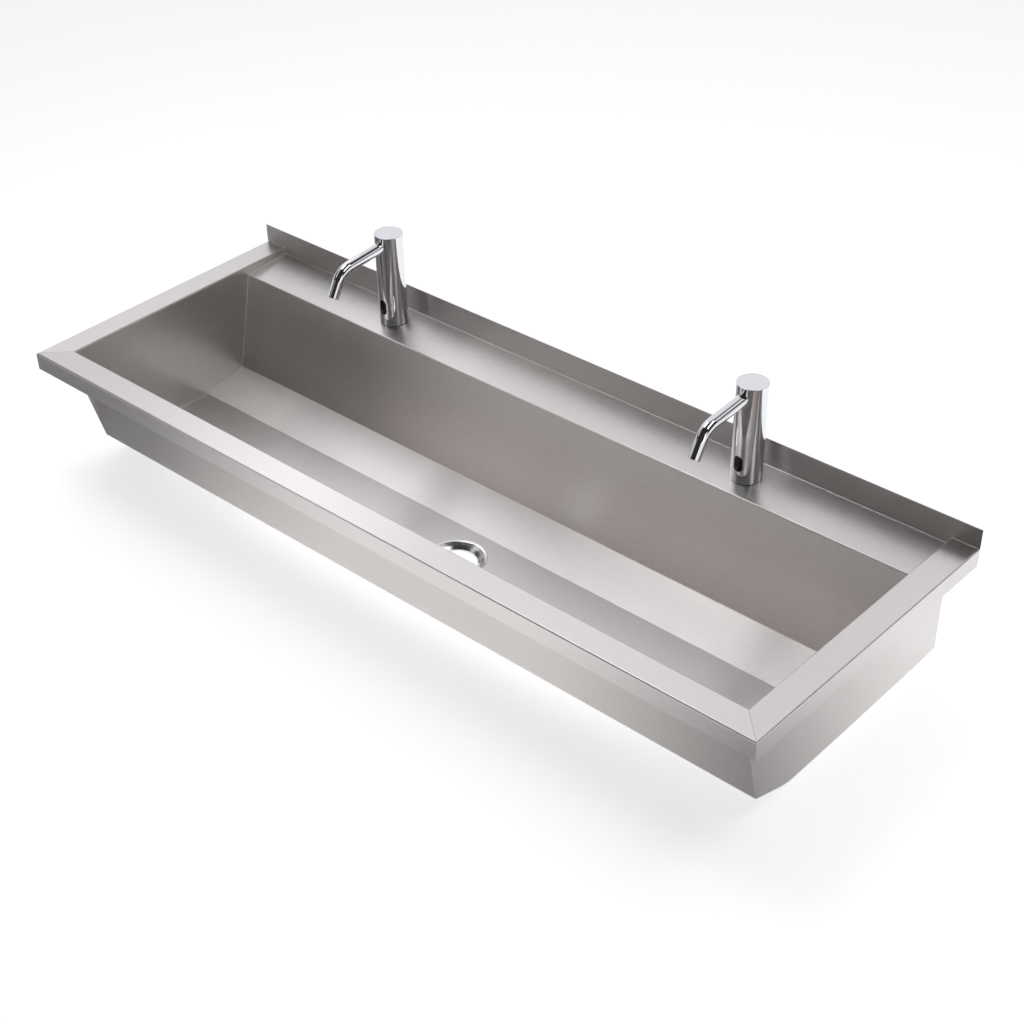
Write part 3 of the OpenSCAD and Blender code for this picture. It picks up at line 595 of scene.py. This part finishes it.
class TROUGH_OT_finishes(Operator):
    """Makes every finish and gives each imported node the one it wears"""
    bl_idname = "trough.finishes"
    bl_label = "Finishes"

    def execute(self, context):
        s, o, t = context.scene.trough_sizes, context.scene.outlet_sizes, context.scene.tap_sizes
        for axis, key in enumerate(("satin_steel", "satin_y", "satin_z")):
            stretch = [60, 60, 60]
            stretch[axis] = 9
            FINISHES[key] = finish_of(
                f"satin steel, grain along {'XYZ'[axis]}", tuple(s.steel), s.steel_roughness,
                stretch=stretch, scale=7, rough_swing=0.10, tone_swing=0.09, cloud=0.02,
                brushed=s.brushed)
        turned = dict(stretch=(4, 4, 60), scale=6)
        case = finish_of("moulded case", (0.03, 0.035, 0.04), 0.5, metal=0.0, scale=14, bump=0.1,
                         tone_swing=0.1)
        FINISHES.update({
            "weld": finish_of("polished weld", (0.95, 0.94, 0.92), 0.55, scale=20),
            "mitre": finish_of("dressed mitre", (0.50, 0.49, 0.52), 0.35, scale=20),
            "polished_steel": finish_of("polished outlet", tuple(o.polish), 0.22, scale=8, cloud=0.02),
            "tap_chrome": finish_of("chrome plate", tuple(t.chrome), 0.035, scale=4, rough_swing=0.2,
                                    tone_swing=0.01),
            "window_black": finish_of("black window", tuple(t.glass), 0.08, metal=0.0, scale=6,
                                      gloss=0.25),
            "lens": finish_of("sensor lens", (0.004, 0.004, 0.006), 0.05, metal=0.0, scale=6,
                              gloss=0.25),
            "bracket_steel": finish_of("mill steel", (0.45, 0.45, 0.45), 0.45, scale=5, bump=0.1,
                                       tone_swing=0.06),
            "fastener_steel": finish_of("plated fastener", (0.60, 0.59, 0.56), 0.30, scale=9,
                                        tone_swing=0.05),
            "seal_rubber": finish_of("black rubber", (0.015, 0.015, 0.015), 0.7, metal=0.0, scale=12,
                                     bump=0.15, tone_swing=0.2),
            "module_case": case,
            "coil_case": case,
            "valve_brass": finish_of("machined brass", (0.62, 0.43, 0.18), 0.28, tone_swing=0.05, **turned),
            "valve_steel": finish_of("machined steel", (0.56, 0.56, 0.55), 0.25, **turned),
            "valve_plastic": finish_of("pale plastic", (0.62, 0.61, 0.57), 0.4, metal=0.0, scale=10,
                                       bump=0.05),
        })
        for part in frame["record"]["subparts"]:
            for slot in frame["nodes"][part["node"]].material_slots:
                slot.material = FINISHES[part["material_slot"]]
        return {"FINISHED"}


class TROUGH_OT_front_panel(Operator):
    """Builds the front panel: lip, rim, front wall and the bend into the floor, mitred at both corners"""
    bl_idname = "trough.front_panel"
    bl_label = "Front panel"

    def execute(self, context):
        fold = trough_of(context)[1]
        points, normals = fold.outline(LIP, FLOOR_SEAM)
        reach = fold.half_bowl + np.maximum(fold.line[RIM_EDGE][0] - points[:, 0], 0)
        prism(Shell(), points, normals, xyz(-reach, reach)).build(
            "front_sheet", "satin_steel", ["front_panel"])
        return {"FINISHED"}


class TROUGH_OT_back_panel(Operator):
    """Builds the back panel: back wall, tap ledge and upstand, whose ends run out over the side rims"""
    bl_idname = "trough.back_panel"
    bl_label = "Back panel"

    def execute(self, context):
        s, fold = trough_of(context)
        hair = 0.00001  # height over which the upstand's ends run out
        points, normals = fold.outline(BACK_SEAM, TOP, extra=((LEDGE_BACK, -s.sheet, -hair),
                                                             (LEDGE_BACK, -s.sheet, 0.0)))
        over_rim = (points[:, 1] > -hair / 2) & (points[:, 0] > -2 * s.sheet)
        reach = np.where(over_rim, s.length / 2, fold.half_bowl)
        prism(Shell(), points, normals, xyz(-reach, reach)).build(
            "back_sheet", "satin_steel", ["back_panel"])
        return {"FINISHED"}


class TROUGH_OT_floor_panel(Operator):
    """Builds the floor panel, with the outlet's hole in its level strip and the fold up to the back wall"""
    bl_idname = "trough.floor_panel"
    bl_label = "Floor panel"

    def execute(self, context):
        s, fold = trough_of(context)
        o = context.scene.outlet_sizes
        y0, z0 = fold.line[FLOOR_SEAM]
        crease = math.acos(fold.along[CREASE - 1] @ fold.along[CREASE])
        y1 = fold.line[CREASE][0] - fold.radius * math.tan(0.5 * crease)
        faces = np.array([z0, z0 - s.sheet])
        reach = o.seat_d * 0.62  # half of the square patch round the hole
        xs = np.concatenate([[-fold.half_bowl], np.linspace(-reach, reach, 33), [fold.half_bowl]])
        near_v = np.linspace(y0, y1, 33)
        ring = ring_patch(xs[1:-1], near_v, stadium(0, -o.setback, o.seat_d, o.seat_d), 6)
        shell = Shell()
        for z, up in zip(faces, (1, -1)):
            shell.grid(xyz(ring[..., 0], ring[..., 1], z), outward=(0, 0, up))
            for u in (xs[:2], xs[-2:]):
                shell.grid(xyz(u[:, None], near_v, z), outward=(0, 0, up))
        hole = xyz(ring[:, 0, :1], ring[:, 0, 1:], faces)
        shell.grid(hole, outward=((0, -o.setback, 0) - hole) * (1, 1, 0))
        # the strip's seam edge, then the crease and the slope up to the back wall's seam
        shell.grid(xyz(xs[:, None], y0, faces), outward=(0, -1, 0))
        p, n = carry(*rounded(
            [(y1, faces[1]), fold.hidden(CREASE), fold.hidden(BACK_SEAM), fold.line[BACK_SEAM],
             fold.line[CREASE], (y1, z0)], [0, fold.radius + s.sheet, 0, 0, fold.radius, 0]), xs)
        shell.grid(p, n)
        for k, way in ((0, -1), (-1, 1)):
            shell.cover(p[:, k], (way, 0, 0))
            shell.grid(xyz(xs[k], near_v, faces[:, None]), outward=(way, 0, 0))
        shell.build("floor_sheet", "satin_steel", ["floor_panel"])
        return {"FINISHED"}


class TROUGH_OT_side_rims(Operator):
    """Builds the two side rims: lip, flat rim and the fold down into the bowl, mitred at the front"""
    bl_idname = "trough.side_rims"
    bl_label = "Side rims"

    def execute(self, context):
        s = context.scene.trough_sizes
        sheet, width, lip = s.sheet, s.rim_width, -s.lip_height
        inside, outside = s.fold_radius, s.fold_radius + sheet
        # distance in from the outer edge, and height, with the sheet on the right
        points, normals = rounded(
            [(0, lip), (0, 0), (width, 0), (width, -RIM_DROP), (width - sheet, -RIM_DROP),
             (width - sheet, -sheet), (sheet, -sheet), (sheet, lip)],
            [SOFT_EDGE, outside, outside, 0, 0, inside, inside, SOFT_EDGE])
        ends = xyz(points[:, 0] - s.depth, 0.0)
        for name, side in SIDES:
            section = xyz(side * (s.length / 2 - points[:, 0]), points[:, 1])
            prism(Shell(), section, normals * (side, -1), ends, axis=1).build(
                f"{name}_rim_sheet", "satin_steel", [f"{name}_side_rim"], "satin_y", (1, (0, 2)))
        return {"FINISHED"}


class TROUGH_OT_end_panels(Operator):
    """Builds the two end panels: a full-depth plate that follows the bowl's underside, and its return"""
    bl_idname = "trough.end_panels"
    bl_label = "End panels"

    def execute(self, context):
        s, fold = trough_of(context)
        edge = 0.0005  # radius of the polished lower edge
        clear = 0.0006  # between the return and the ledge
        under = fold.outline(RIM_EDGE, BACK_SEAM)[0]
        under = under[:len(under) // 2]
        under = under[(under[:, 1] < -RIM_DROP) & (under[:, 0] <= fold.hidden(CREASE)[0] + 1e-6)]
        (ya, za), (yb, zb) = under[:2]
        first_y = ya - (za + RIM_DROP) * (yb - ya) / (zb - za)
        rear_z = s.rear_corner_rise - s.bowl_depth - s.sheet
        line = np.concatenate([[(first_y, -RIM_DROP)], under, [(0.0, rear_z)]])
        line = line[np.append(True, np.linalg.norm(np.diff(line, axis=0), axis=1) > 1e-6)]
        step = np.gradient(line, axis=0)
        down = np.stack([step[:, 1], -step[:, 0]], 1)
        down = (down / np.linalg.norm(down, axis=1, keepdims=True))[:, None]
        # the outer face stops short of the polished edge, which rolls under to the inner face
        a = np.linspace(0, QUARTER, 5)
        roll = line[:, None] - down * edge * (1 - np.sin(a[:, None]))
        roll[..., 1] = np.minimum(roll[..., 1], -RIM_DROP)
        top = xyz(line[:, 0], -RIM_DROP)
        outer_top = top.copy()
        outer_top[0] = roll[0, 0]
        levels = np.linspace(0, 1, 5)[:, None]
        face = line[:, None] * (1 - levels) + top[:, None] * levels
        outer_face = roll[:, :1] * (1 - levels) + outer_top[:, None] * levels
        for name, side in SIDES:
            inner, outer = side * fold.half_bowl, side * (fold.half_bowl + s.sheet)
            shell = Shell().grid(plate(inner, face), outward=(-side, 0, 0))
            shell.grid(plate(outer, outer_face), outward=(side, 0, 0))
            rolled = plate(outer - side * edge * (1 - np.cos(a)), roll)
            shell.grid(rolled, plate(side * np.cos(a), down * np.sin(a[:, None])))
            for k, way in ((0, (0, 0, 1)), (-1, (0, 1, 0))):
                shell.strip(rolled[k], (inner, *line[k]), way)
            shell.grid(plate(np.array([outer - side * edge, inner]), line[:, None]),
                       outward=plate(0, down))
            for low, high, way in ((top, outer_top, (0, 0, 1)), (face[-1], outer_face[-1], (0, 1, 0))):
                shell.strip(plate(inner, low), plate(outer, high), way)
            # return along the wall
            r0, r1 = sorted((inner, inner - side * s.end_return))
            low, high = rear_z + s.sheet, -s.ledge_drop - s.sheet - clear
            leaf = rounded([(r0, low), (r1, low), (r1, high), (r0, high)], [0.0003] * 4, 3)
            prism(shell, *leaf, (-s.sheet, 0.0), axis=1).build(
                f"{name}_end_sheet", "satin_steel", [f"{name}_end_panel"], "satin_z", (2, (1, 0)))
        return {"FINISHED"}


class TROUGH_OT_welds(Operator):
    """Builds the welds: a hollow fillet along each seam inside the trough, and low beads on the rims"""
    bl_idname = "trough.welds"
    bl_label = "Welds"

    def execute(self, context):
        s, fold = trough_of(context)
        r = s.weld_radius
        outline, outward = fold.outline(RIM_EDGE, TOP)
        half = len(outline) // 2
        seen, seen_n = outline[half:][::-1], outward[half:][::-1]
        keep = seen[:, 1] < -RIM_DROP * 0.5
        seen, seen_n = seen[keep][:, None], seen_n[keep][:, None]
        # arc from the end panel (a = 0) to the section (a = 90 degrees), closed through the corner; a
        # point lies off the end panel by off and above the section by up
        a = np.linspace(0, QUARTER, 7)
        off = np.append(r * (1 - np.sin(a)), -ROOT_DEPTH)
        up = np.append(r * (1 - np.cos(a)), -ROOT_DEPTH)
        for name, side in SIDES:
            points = plate(side * (fold.half_bowl - off), seen + seen_n * up[:, None])
            arc, heart = points[:, :-1], points[:, -1]
            shell = Shell().grid(arc, plate(-side * np.sin(a), seen_n * np.cos(a[:, None])))
            shell.strip(arc[:, 0], heart, plate(0, -seen_n)).strip(arc[:, -1], heart, (side, 0, 0))
            for end, before in ((0, 1), (-1, -2)):
                shell.strip(points[end], heart[end], points[end, 0] - points[before, 0])
            shell.build(f"{name}_corner_weld", "satin_steel", finish="weld")
        # mitres of the rim, and the foot of the upstand on nearly the whole of each side rim
        along = np.linspace(0, 1, 25)
        foot_share = 0.97
        mitre_half, mitre_height, foot_half, foot_height = 0.0006, 0.00008, 0.001, 0.0007
        out = along * (s.rim_width - s.fold_radius - s.sheet)
        for name, side in SIDES:
            mitre = xyz(side * (fold.half_bowl + out), fold.line[RIM_EDGE][0] - out, 0.0)
            foot = xyz(side * (fold.half_bowl + along * s.rim_width * foot_share), -s.sheet, 0.0)
            bead(mitre, (0, 0, 1), mitre_half, mitre_height).build(
                f"{name}_mitre_weld", "satin_steel", finish="mitre")
            bead(foot, (0, -1, 1), foot_half, foot_height).build(
                f"{name}_upstand_weld", "satin_steel", finish="weld")
        # floor to back wall, along the whole bowl: an arc between the two faces' normals
        n0, n1 = -fold.right[BACK_SEAM - 1], -fold.right[BACK_SEAM]
        opening = math.atan2(n0[0] * n1[1] - n0[1] * n1[0], n0 @ n1)
        mitre = (n0 + n1) / (1 + n0 @ n1)
        angle = math.atan2(-n0[1], -n0[0]) + np.linspace(0, 1, 9) * opening
        centre = fold.line[BACK_SEAM] + mitre * r
        heart = fold.line[BACK_SEAM] - mitre * ROOT_DEPTH
        loop = np.concatenate([centre + r * xyz(np.cos(angle), np.sin(angle)), [heart]])
        p, n = carry(loop, (centre - loop) / r, (-fold.half_bowl, fold.half_bowl))
        shell = Shell().grid(p[:-1], n[:-1])
        shell.grid(p[[0, -1]], outward=(0, *-n0)).grid(p[[-2, -1]], outward=(0, *-n1))
        for k, way in ((0, -1), (1, 1)):
            shell.strip(p[:, k], p[-1, k], (way, 0, 0))
        shell.build("floor_weld", "satin_steel", finish="weld")
        return {"FINISHED"}


class TROUGH_OT_outlet(Operator):
    """Builds the polished waste ring: a thin flange, a dish that falls from its edge, and the bore"""
    bl_idname = "trough.outlet"
    bl_label = "Waste outlet"

    def execute(self, context):
        s, o = context.scene.trough_sizes, context.scene.outlet_sizes
        seat, bore, edge = o.seat_d / 2 - 0.0003, o.bore_d / 2, o.flange_d / 2
        dish, foot = -o.dish_depth, -o.dish_depth - o.bore_length
        points, normals = rounded(
            [(edge, 0), (edge, o.flange_t), (seat, o.flange_t - o.wall / 2),
             ((seat + bore) / 2, dish * 0.4), (bore, dish), (bore, foot), (bore + o.wall, foot),
             (bore + o.wall, dish - o.wall), (seat, -o.wall), (seat, 0)],
            [0.0001, 0.0006, 0.004, 0.012, 0.0012, 0.0003, 0.0003, 0.002, 0.0003, 0.0001])
        lathe(Shell(), closed(points), closed(normals), (0, -o.setback, -s.bowl_depth),
              np.linspace(0, 4 * QUARTER, 129)).build(
            "outlet_ring", "polished_steel", ["waste_ring"])
        return {"FINISHED"}


class TROUGH_OT_tap_bodies(Operator):
    """Builds the two tap bodies: a plumb tube, its foot cut to the ledge, with the window's opening"""
    bl_idname = "trough.tap_bodies"
    bl_label = "Tap bodies"

    def execute(self, context):
        t, slope, feet = taps_of(context)
        r, bore = t.diameter / 2, t.diameter / 2 - t.wall
        clear, cut = 0.0001, 0.006  # gap round the window, and height over which the foot's slope dies out
        reach, tall = t.window_w * 0.75, t.window_h * 0.68  # half sizes of the patch round the window
        near = np.linspace(-reach, reach, 25) / r
        around = np.concatenate([near[:-1], np.linspace(reach / r, 2 * math.pi - reach / r, 120)])
        near_v = np.linspace(t.window_z - tall, t.window_z + tall, 25)
        opening = stadium(0, t.window_z, t.window_w + 2 * clear, t.window_h + 2 * clear)
        ring = ring_patch(near * r, near_v, opening, 8)
        brim, ledge = t.height - t.edge, t.height - t.cap_t
        recess = r - t.cap_wall + SEAM_EDGE

        def lift(h, y):
            """The foot's height follows the ledge; the effect dies out a few millimetres up."""
            return np.clip(1 - (h - t.gasket) / cut, 0, 1) * slope * y

        def wall(u, v, radius):
            """Unrolled place (arc length on the outer face, height) to the tube of that radius."""
            x, y = np.sin(u / r), -np.cos(u / r)
            return xyz(radius * x, radius * y, v + lift(v, radius * y)), xyz(x, y, 0)

        a = np.linspace(0, QUARTER, 7)
        arc = xyz(np.cos(a), np.sin(a))
        edge = (r - t.edge, brim) + t.edge * arc
        flats = ((edge[-1], (recess, t.height), (0, 1), None),
                 ((recess, t.height), (recess, ledge), (-1, 0), None),
                 ((recess, ledge), (bore, ledge), (0, 1), None),
                 ((bore, t.gasket), (r, t.gasket), (0, -1), lift))
        cap = r - t.cap_wall
        disc = [closed(part) for part in rounded(
            [(cap, ledge), (cap, t.height), (0, t.height), (0, ledge)], [0.0001, 0.00012, 0, 0], 4)]
        for name, foot in feet:
            shell = Shell()
            for radius, way, ceiling in ((r, 1, brim), (bore, -1, ledge)):
                low_v = np.append(t.gasket, np.linspace(t.gasket + cut, near_v[0], 3))
                high_v = np.linspace(near_v[-1], ceiling, 24)
                whole = around[:, None] * r
                for u, v in ((whole, low_v), (whole, high_v), (whole[len(near) - 1:], near_v),
                             (ring[..., 0], ring[..., 1])):
                    p, n = wall(u, v, radius)
                    shell.grid(p + foot, n * way)
            # reveal of the window's opening, then the rounded top edge, the cap's recess and the foot
            reveal = np.stack([wall(*ring[:, 0].T, radius)[0] for radius in (r, bore)], 1)
            shell.grid(reveal + foot, outward=wall(0.0, t.window_z, r)[0] - reveal)
            lathe(shell, edge, arc, foot, around)
            for p0, p1, n, follow in flats:
                lathe(shell, np.array([p0, p1]), np.array([n, n], float), foot, around, follow)
            shell.build(f"{name}_body_shell", "tap_chrome", [f"{name}_tap_body"])
            lathe(Shell(), *disc, foot, around).build(
                f"{name}_cap_disc", "tap_chrome", [f"{name}_tap_cap"])
        return {"FINISHED"}


class TROUGH_OT_windows(Operator):
    """Builds the two sensor windows: a black pane that follows the body's curve, with a round lens"""
    bl_idname = "trough.windows"
    bl_label = "Sensor windows"

    def execute(self, context):
        t, _, feet = taps_of(context)
        face_r = t.diameter / 2 - t.window_sink
        lens_r, lens_z, lens_depth, swell = 0.0042, t.window_z - 0.0062, 0.0006, 0.00015

        def bent(flat, radius):
            """A flat patch (x, z) laid on the tube: y = -sqrt(radius squared - x squared)."""
            x, z = flat[..., 0], flat[..., 1]
            y = -np.sqrt(radius ** 2 - x ** 2)
            return xyz(x, y, z), xyz(x / radius, y / radius, 0)

        outline = stadium(0, t.window_z, t.window_w, t.window_h)(np.linspace(0, 1, 97))
        inwards = np.linspace(0, 1, 10)[:, None]
        disc = outline[:, None] * (1 - inwards) + np.array((0, t.window_z)) * inwards
        faces = ((face_r, 1), (face_r - t.window_depth, -1))
        rim = np.stack([bent(outline, radius)[0] for radius, _ in faces], 1)
        # lens: a shallow dome that stays below the body's surface
        a = np.linspace(0, 4 * QUARTER, 49)[:, None]
        rho = np.linspace(1, 0, 8)
        flat = xyz(lens_r * rho * np.cos(a), lens_z + lens_r * rho * np.sin(a))
        dome, dome_n = bent(flat, face_r)
        dome[..., 1] -= swell * (1 - rho ** 2)
        dome_n = dome_n + xyz(np.cos(a) * 0.5 * rho, 0, np.sin(a) * 0.5 * rho)
        back, back_n = bent(flat, face_r - lens_depth)
        lens_rim = np.stack([dome[:, 0], back[:, 0]], 1)
        for name, foot in feet:
            shell = Shell()
            for radius, way in faces:
                p, n = bent(disc, radius)
                shell.grid(p + foot, n * way)
            shell.grid(rim + foot, outward=(rim - (0, 0, t.window_z)) * (1, 0, 1))
            shell.build(f"{name}_pane", "window_black", [f"{name}_sensor_window"])
            lens = Shell().grid(dome + foot, dome_n).grid(back + foot, -back_n)
            lens.grid(lens_rim + foot, outward=(lens_rim - (0, 0, lens_z)) * (1, 0, 1))
            lens.build(f"{name}_lens", "window_black", finish="lens")
        return {"FINISHED"}


class TROUGH_OT_spouts(Operator):
    """Builds the two spouts: a round tube carried along a straight arm, a bend and a straight tail"""
    bl_idname = "trough.spouts"
    bl_label = "Spouts"

    def execute(self, context):
        t, _, feet = taps_of(context)
        fall, end = math.radians(t.spout_fall), math.radians(t.spout_end_slope)
        r, bore = t.spout_d / 2 - 0.00004, t.spout_d / 2 - t.spout_wall
        # the axis as (distance out, height), with its slope below level
        along = np.array((math.cos(end), -math.sin(end)))
        arm = np.linspace(t.spout_start, t.spout_arm, 16)[:, None] * (math.cos(fall), -math.sin(fall))
        bend = np.linspace(fall, end, 41)
        centre = arm[-1] + t.spout_bend * np.array((-math.sin(fall), -math.cos(fall)))
        bend_line = centre + t.spout_bend * xyz(np.sin(bend), np.cos(bend))
        tail = bend_line[-1] + np.linspace(0, t.spout_tail, 8)[1:, None] * along
        tail[-1] -= SOFT_EDGE * along
        line = np.concatenate([arm[:-1], bend_line, tail])
        slope = np.concatenate([np.full(len(arm) - 1, fall), bend, np.full(len(tail), end)])
        a = np.linspace(0, 4 * QUARTER, 97)

        def tube(line, slope, radius):
            """Ring of a radius square to the axis at each point; radius may change along it."""
            up = xyz(np.sin(slope), np.cos(slope))[:, None] * np.cos(a)[:, None]
            rho = np.broadcast_to(radius, len(line))[:, None]
            ring = line[:, None] + up * rho[..., None]
            return (xyz(rho * np.sin(a), -ring[..., 0], ring[..., 1]),
                    xyz(np.sin(a), -up[..., 0], up[..., 1]))

        outer, outer_n = tube(line, slope, r)
        inner, inner_n = tube(line, slope, bore)
        # rolled mouth: a half round from the outer to the inner face
        turn = np.linspace(0, math.pi, 13)
        mouth_line = line[-1] + (SOFT_EDGE * np.sin(turn))[:, None] * along
        mouth, mouth_n = tube(mouth_line, np.full(13, end), (r + bore) / 2 + (r - bore) / 2 * np.cos(turn))
        turn = turn[:, None, None]
        mouth_n = mouth_n * np.cos(turn) + np.array((0, -along[0], along[1])) * np.sin(turn)
        for name, foot in feet:
            place = foot + (0, 0, t.height - t.spout_below_top)
            shell = Shell().grid(outer + place, outer_n).grid(inner + place, -inner_n)
            shell.grid(mouth + place, mouth_n)
            shell.grid(np.stack([outer[0], inner[0]]) + place, outward=(0, 1, 0))
            shell.build(f"{name}_spout_tube", "tap_chrome", [f"{name}_spout"])
        return {"FINISHED"}


BOWL = (0, -0.27, -0.05)  # what most lamps aim at
LAMPS = (  # name of the lamp and of its setting, width, height, place, aim
    ("right_lamp", 1.8, 1.0, (1.617, 0.319, 2.407), BOWL),
    ("high_lamp", 1.05, 1.05, (-1.022, -0.181, 2.769), BOWL),
    ("left_lamp", 2.1, 0.5, (-1.22, -0.35, 1.15), (-0.2, -0.3, 0)),
    ("right_strip", 0.45, 1.0, (2.072, -0.561, 0.63), BOWL),
    ("front_strip", 0.45, 1.0, (-1.2, -1.984, 0.63), BOWL),
    ("back_card", 1.2, 0.7, (1.16, 1.387, 1.419), BOWL),
)
PAINTED_FLOOR_SHADES = (  # painted floor shade, seen only in reflections: name, x, y, radius of the dense core, half size
    ("left_flag", -1.15, -0.6, 0.3, 1.0),
    ("right_flag", 1.0, -0.8, 0.25, 0.85),
)
SQUARE = np.array([(-1, -1, 0), (1, -1, 0), (1, 1, 0), (-1, 1, 0)])
FLOOR_HALF, FAR, FAR_TOP = 40.0, 30.0, 6.0  # floor's half size, and the backdrop's radius and height


def stage_piece(name, points, faces, material):
    """A mesh that belongs to the stage."""
    mesh = bpy.data.meshes.new(name)
    mesh.from_pydata(points.tolist(), [], faces)
    mesh.materials.append(material)
    item = stand(name, mesh)
    item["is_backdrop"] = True
    return item


class TROUGH_OT_stage(Operator):
    """Sets the camera, the lamps, the room and the pale floor"""
    bl_idname = "trough.stage"
    bl_label = "Stage"

    def execute(self, context):
        scene = context.scene
        g = scene.stage_sizes
        camera = stand("eye", bpy.data.cameras.new("eye"))
        camera.location = g.eye
        camera.rotation_euler = g.turn
        camera.data.sensor_width = 36
        camera.data.clip_end = 60
        for key in ("lens", "shift_x", "shift_y"):
            setattr(camera.data, key, getattr(g, key))
        scene.camera = camera
        scene.view_settings.view_transform = "Standard"
        for name, wide, high, place, aim in LAMPS:
            data = bpy.data.lights.new(name, "AREA")
            data.shape = "RECTANGLE"
            data.size = wide
            data.size_y = high
            data.energy = getattr(g, name)
            data.color = g.lamp_tone
            lamp = stand(name, data)
            lamp.location = place
            lamp.rotation_euler = (Vector(aim) - Vector(place)).to_track_quat("-Z", "Y").to_euler()
            lamp.visible_camera = False
        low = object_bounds()[0][2] - 0.0005
        pale = pale_floor("floor", tuple(g.floor), g.floor_white)
        stage_piece("floor", SQUARE * FLOOR_HALF + (0, 0, low), [(0, 1, 2, 3)], pale)
        turn = np.linspace(0, 4 * QUARTER, 97)
        ring = xyz(FAR * np.cos(turn), FAR * np.sin(turn), np.array([[low], [FAR_TOP]])).reshape(-1, 3)
        step = np.arange(96)
        stage_piece("backdrop", ring, np.stack([step, step + 97, step + 98, step + 1], 1).tolist(), pale)
        # painted shade: black cards hidden from the eye, from shadows and from diffuse light darken the
        # floor's reflections as shadow would
        for name, x, y, core, reach in PAINTED_FLOOR_SHADES:
            heart = (x, y, low + 0.001)
            painted_shade_patch = stage_piece(name, SQUARE * reach + heart, [(0, 1, 2, 3)],
                               painted_shade_card(name, heart, core, reach, g.painted_shade_dark))
            painted_shade_patch.visible_camera = False
            painted_shade_patch.visible_diffuse = False
            painted_shade_patch.visible_shadow = False
        # the room: light and tone follow the direction's dot product with that of the pale wall
        scene.world = bpy.data.worlds.new("room")
        scene.world.use_nodes = True
        tree = scene.world.node_tree
        way = node_of(tree, "TexCoord", "Generated")
        facing = node_of(tree, "VectorMath", "Value", way, g.wall_way,
                         operation="DOT_PRODUCT")
        light = node_of(tree, "MapRange", "Result", interpolation_type="SMOOTHSTEP",
                        Value=facing, From_Min=0.6, From_Max=0.97, To_Min=g.room, To_Max=g.wall)
        warmth = node_of(tree, "MapRange", "Result", Value=facing, From_Min=0.3, From_Max=0.8)
        tone = node_of(tree, "Mix", "Result", data_type="RGBA", Factor=warmth,
                       A=(*g.room_tone, 1), B=(*g.wall_tone, 1))
        plug(tree.nodes["Background"], "Strength", light)
        plug(tree.nodes["Background"], "Color", tone)
        return {"FINISHED"}


# ---- panel ----

class TROUGH_PT_panel(Panel):
    """Lists the trough's sizes and builders"""
    bl_label = "Wash trough"
    bl_idname = "TROUGH_PT_panel"
    bl_space_type = "VIEW_3D"
    bl_region_type = "UI"
    bl_category = "Trough"

    def draw(self, context):
        for builder in BUILDERS:
            self.layout.operator(builder.bl_idname)
        for name, _ in GROUPS:
            box = self.layout.box()
            settings = getattr(context.scene, name)
            for prop in settings.bl_rna.properties:
                if prop.identifier not in ("rna_type", "name"):
                    box.prop(settings, prop.identifier)


GROUPS = (("trough_sizes", TroughSettings), ("outlet_sizes", OutletSettings), ("tap_sizes", TapSettings),
          ("stage_sizes", StageSettings))
BUILDERS = (TROUGH_OT_stage, TROUGH_OT_finishes, TROUGH_OT_front_panel, TROUGH_OT_back_panel,
            TROUGH_OT_floor_panel, TROUGH_OT_side_rims, TROUGH_OT_end_panels, TROUGH_OT_welds,
            TROUGH_OT_outlet, TROUGH_OT_tap_bodies, TROUGH_OT_windows, TROUGH_OT_spouts)


def register():
    """Registers the settings, the builders and the panel."""
    for name, group in GROUPS:
        bpy.utils.register_class(group)
        setattr(bpy.types.Scene, name, PointerProperty(type=group))
    for item in (*BUILDERS, TROUGH_PT_panel):
        bpy.utils.register_class(item)


def unregister():
    """Takes them away again."""
    for item in reversed((*BUILDERS, TROUGH_PT_panel)):
        bpy.utils.unregister_class(item)
    for name, group in reversed(GROUPS):
        delattr(bpy.types.Scene, name)
        bpy.utils.unregister_class(group)


def main():
    """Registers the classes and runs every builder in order."""
    register()
    for builder in BUILDERS:
        group, call = builder.bl_idname.split(".")
        getattr(getattr(bpy.ops, group), call)()


if __name__ == "__main__":
    main()
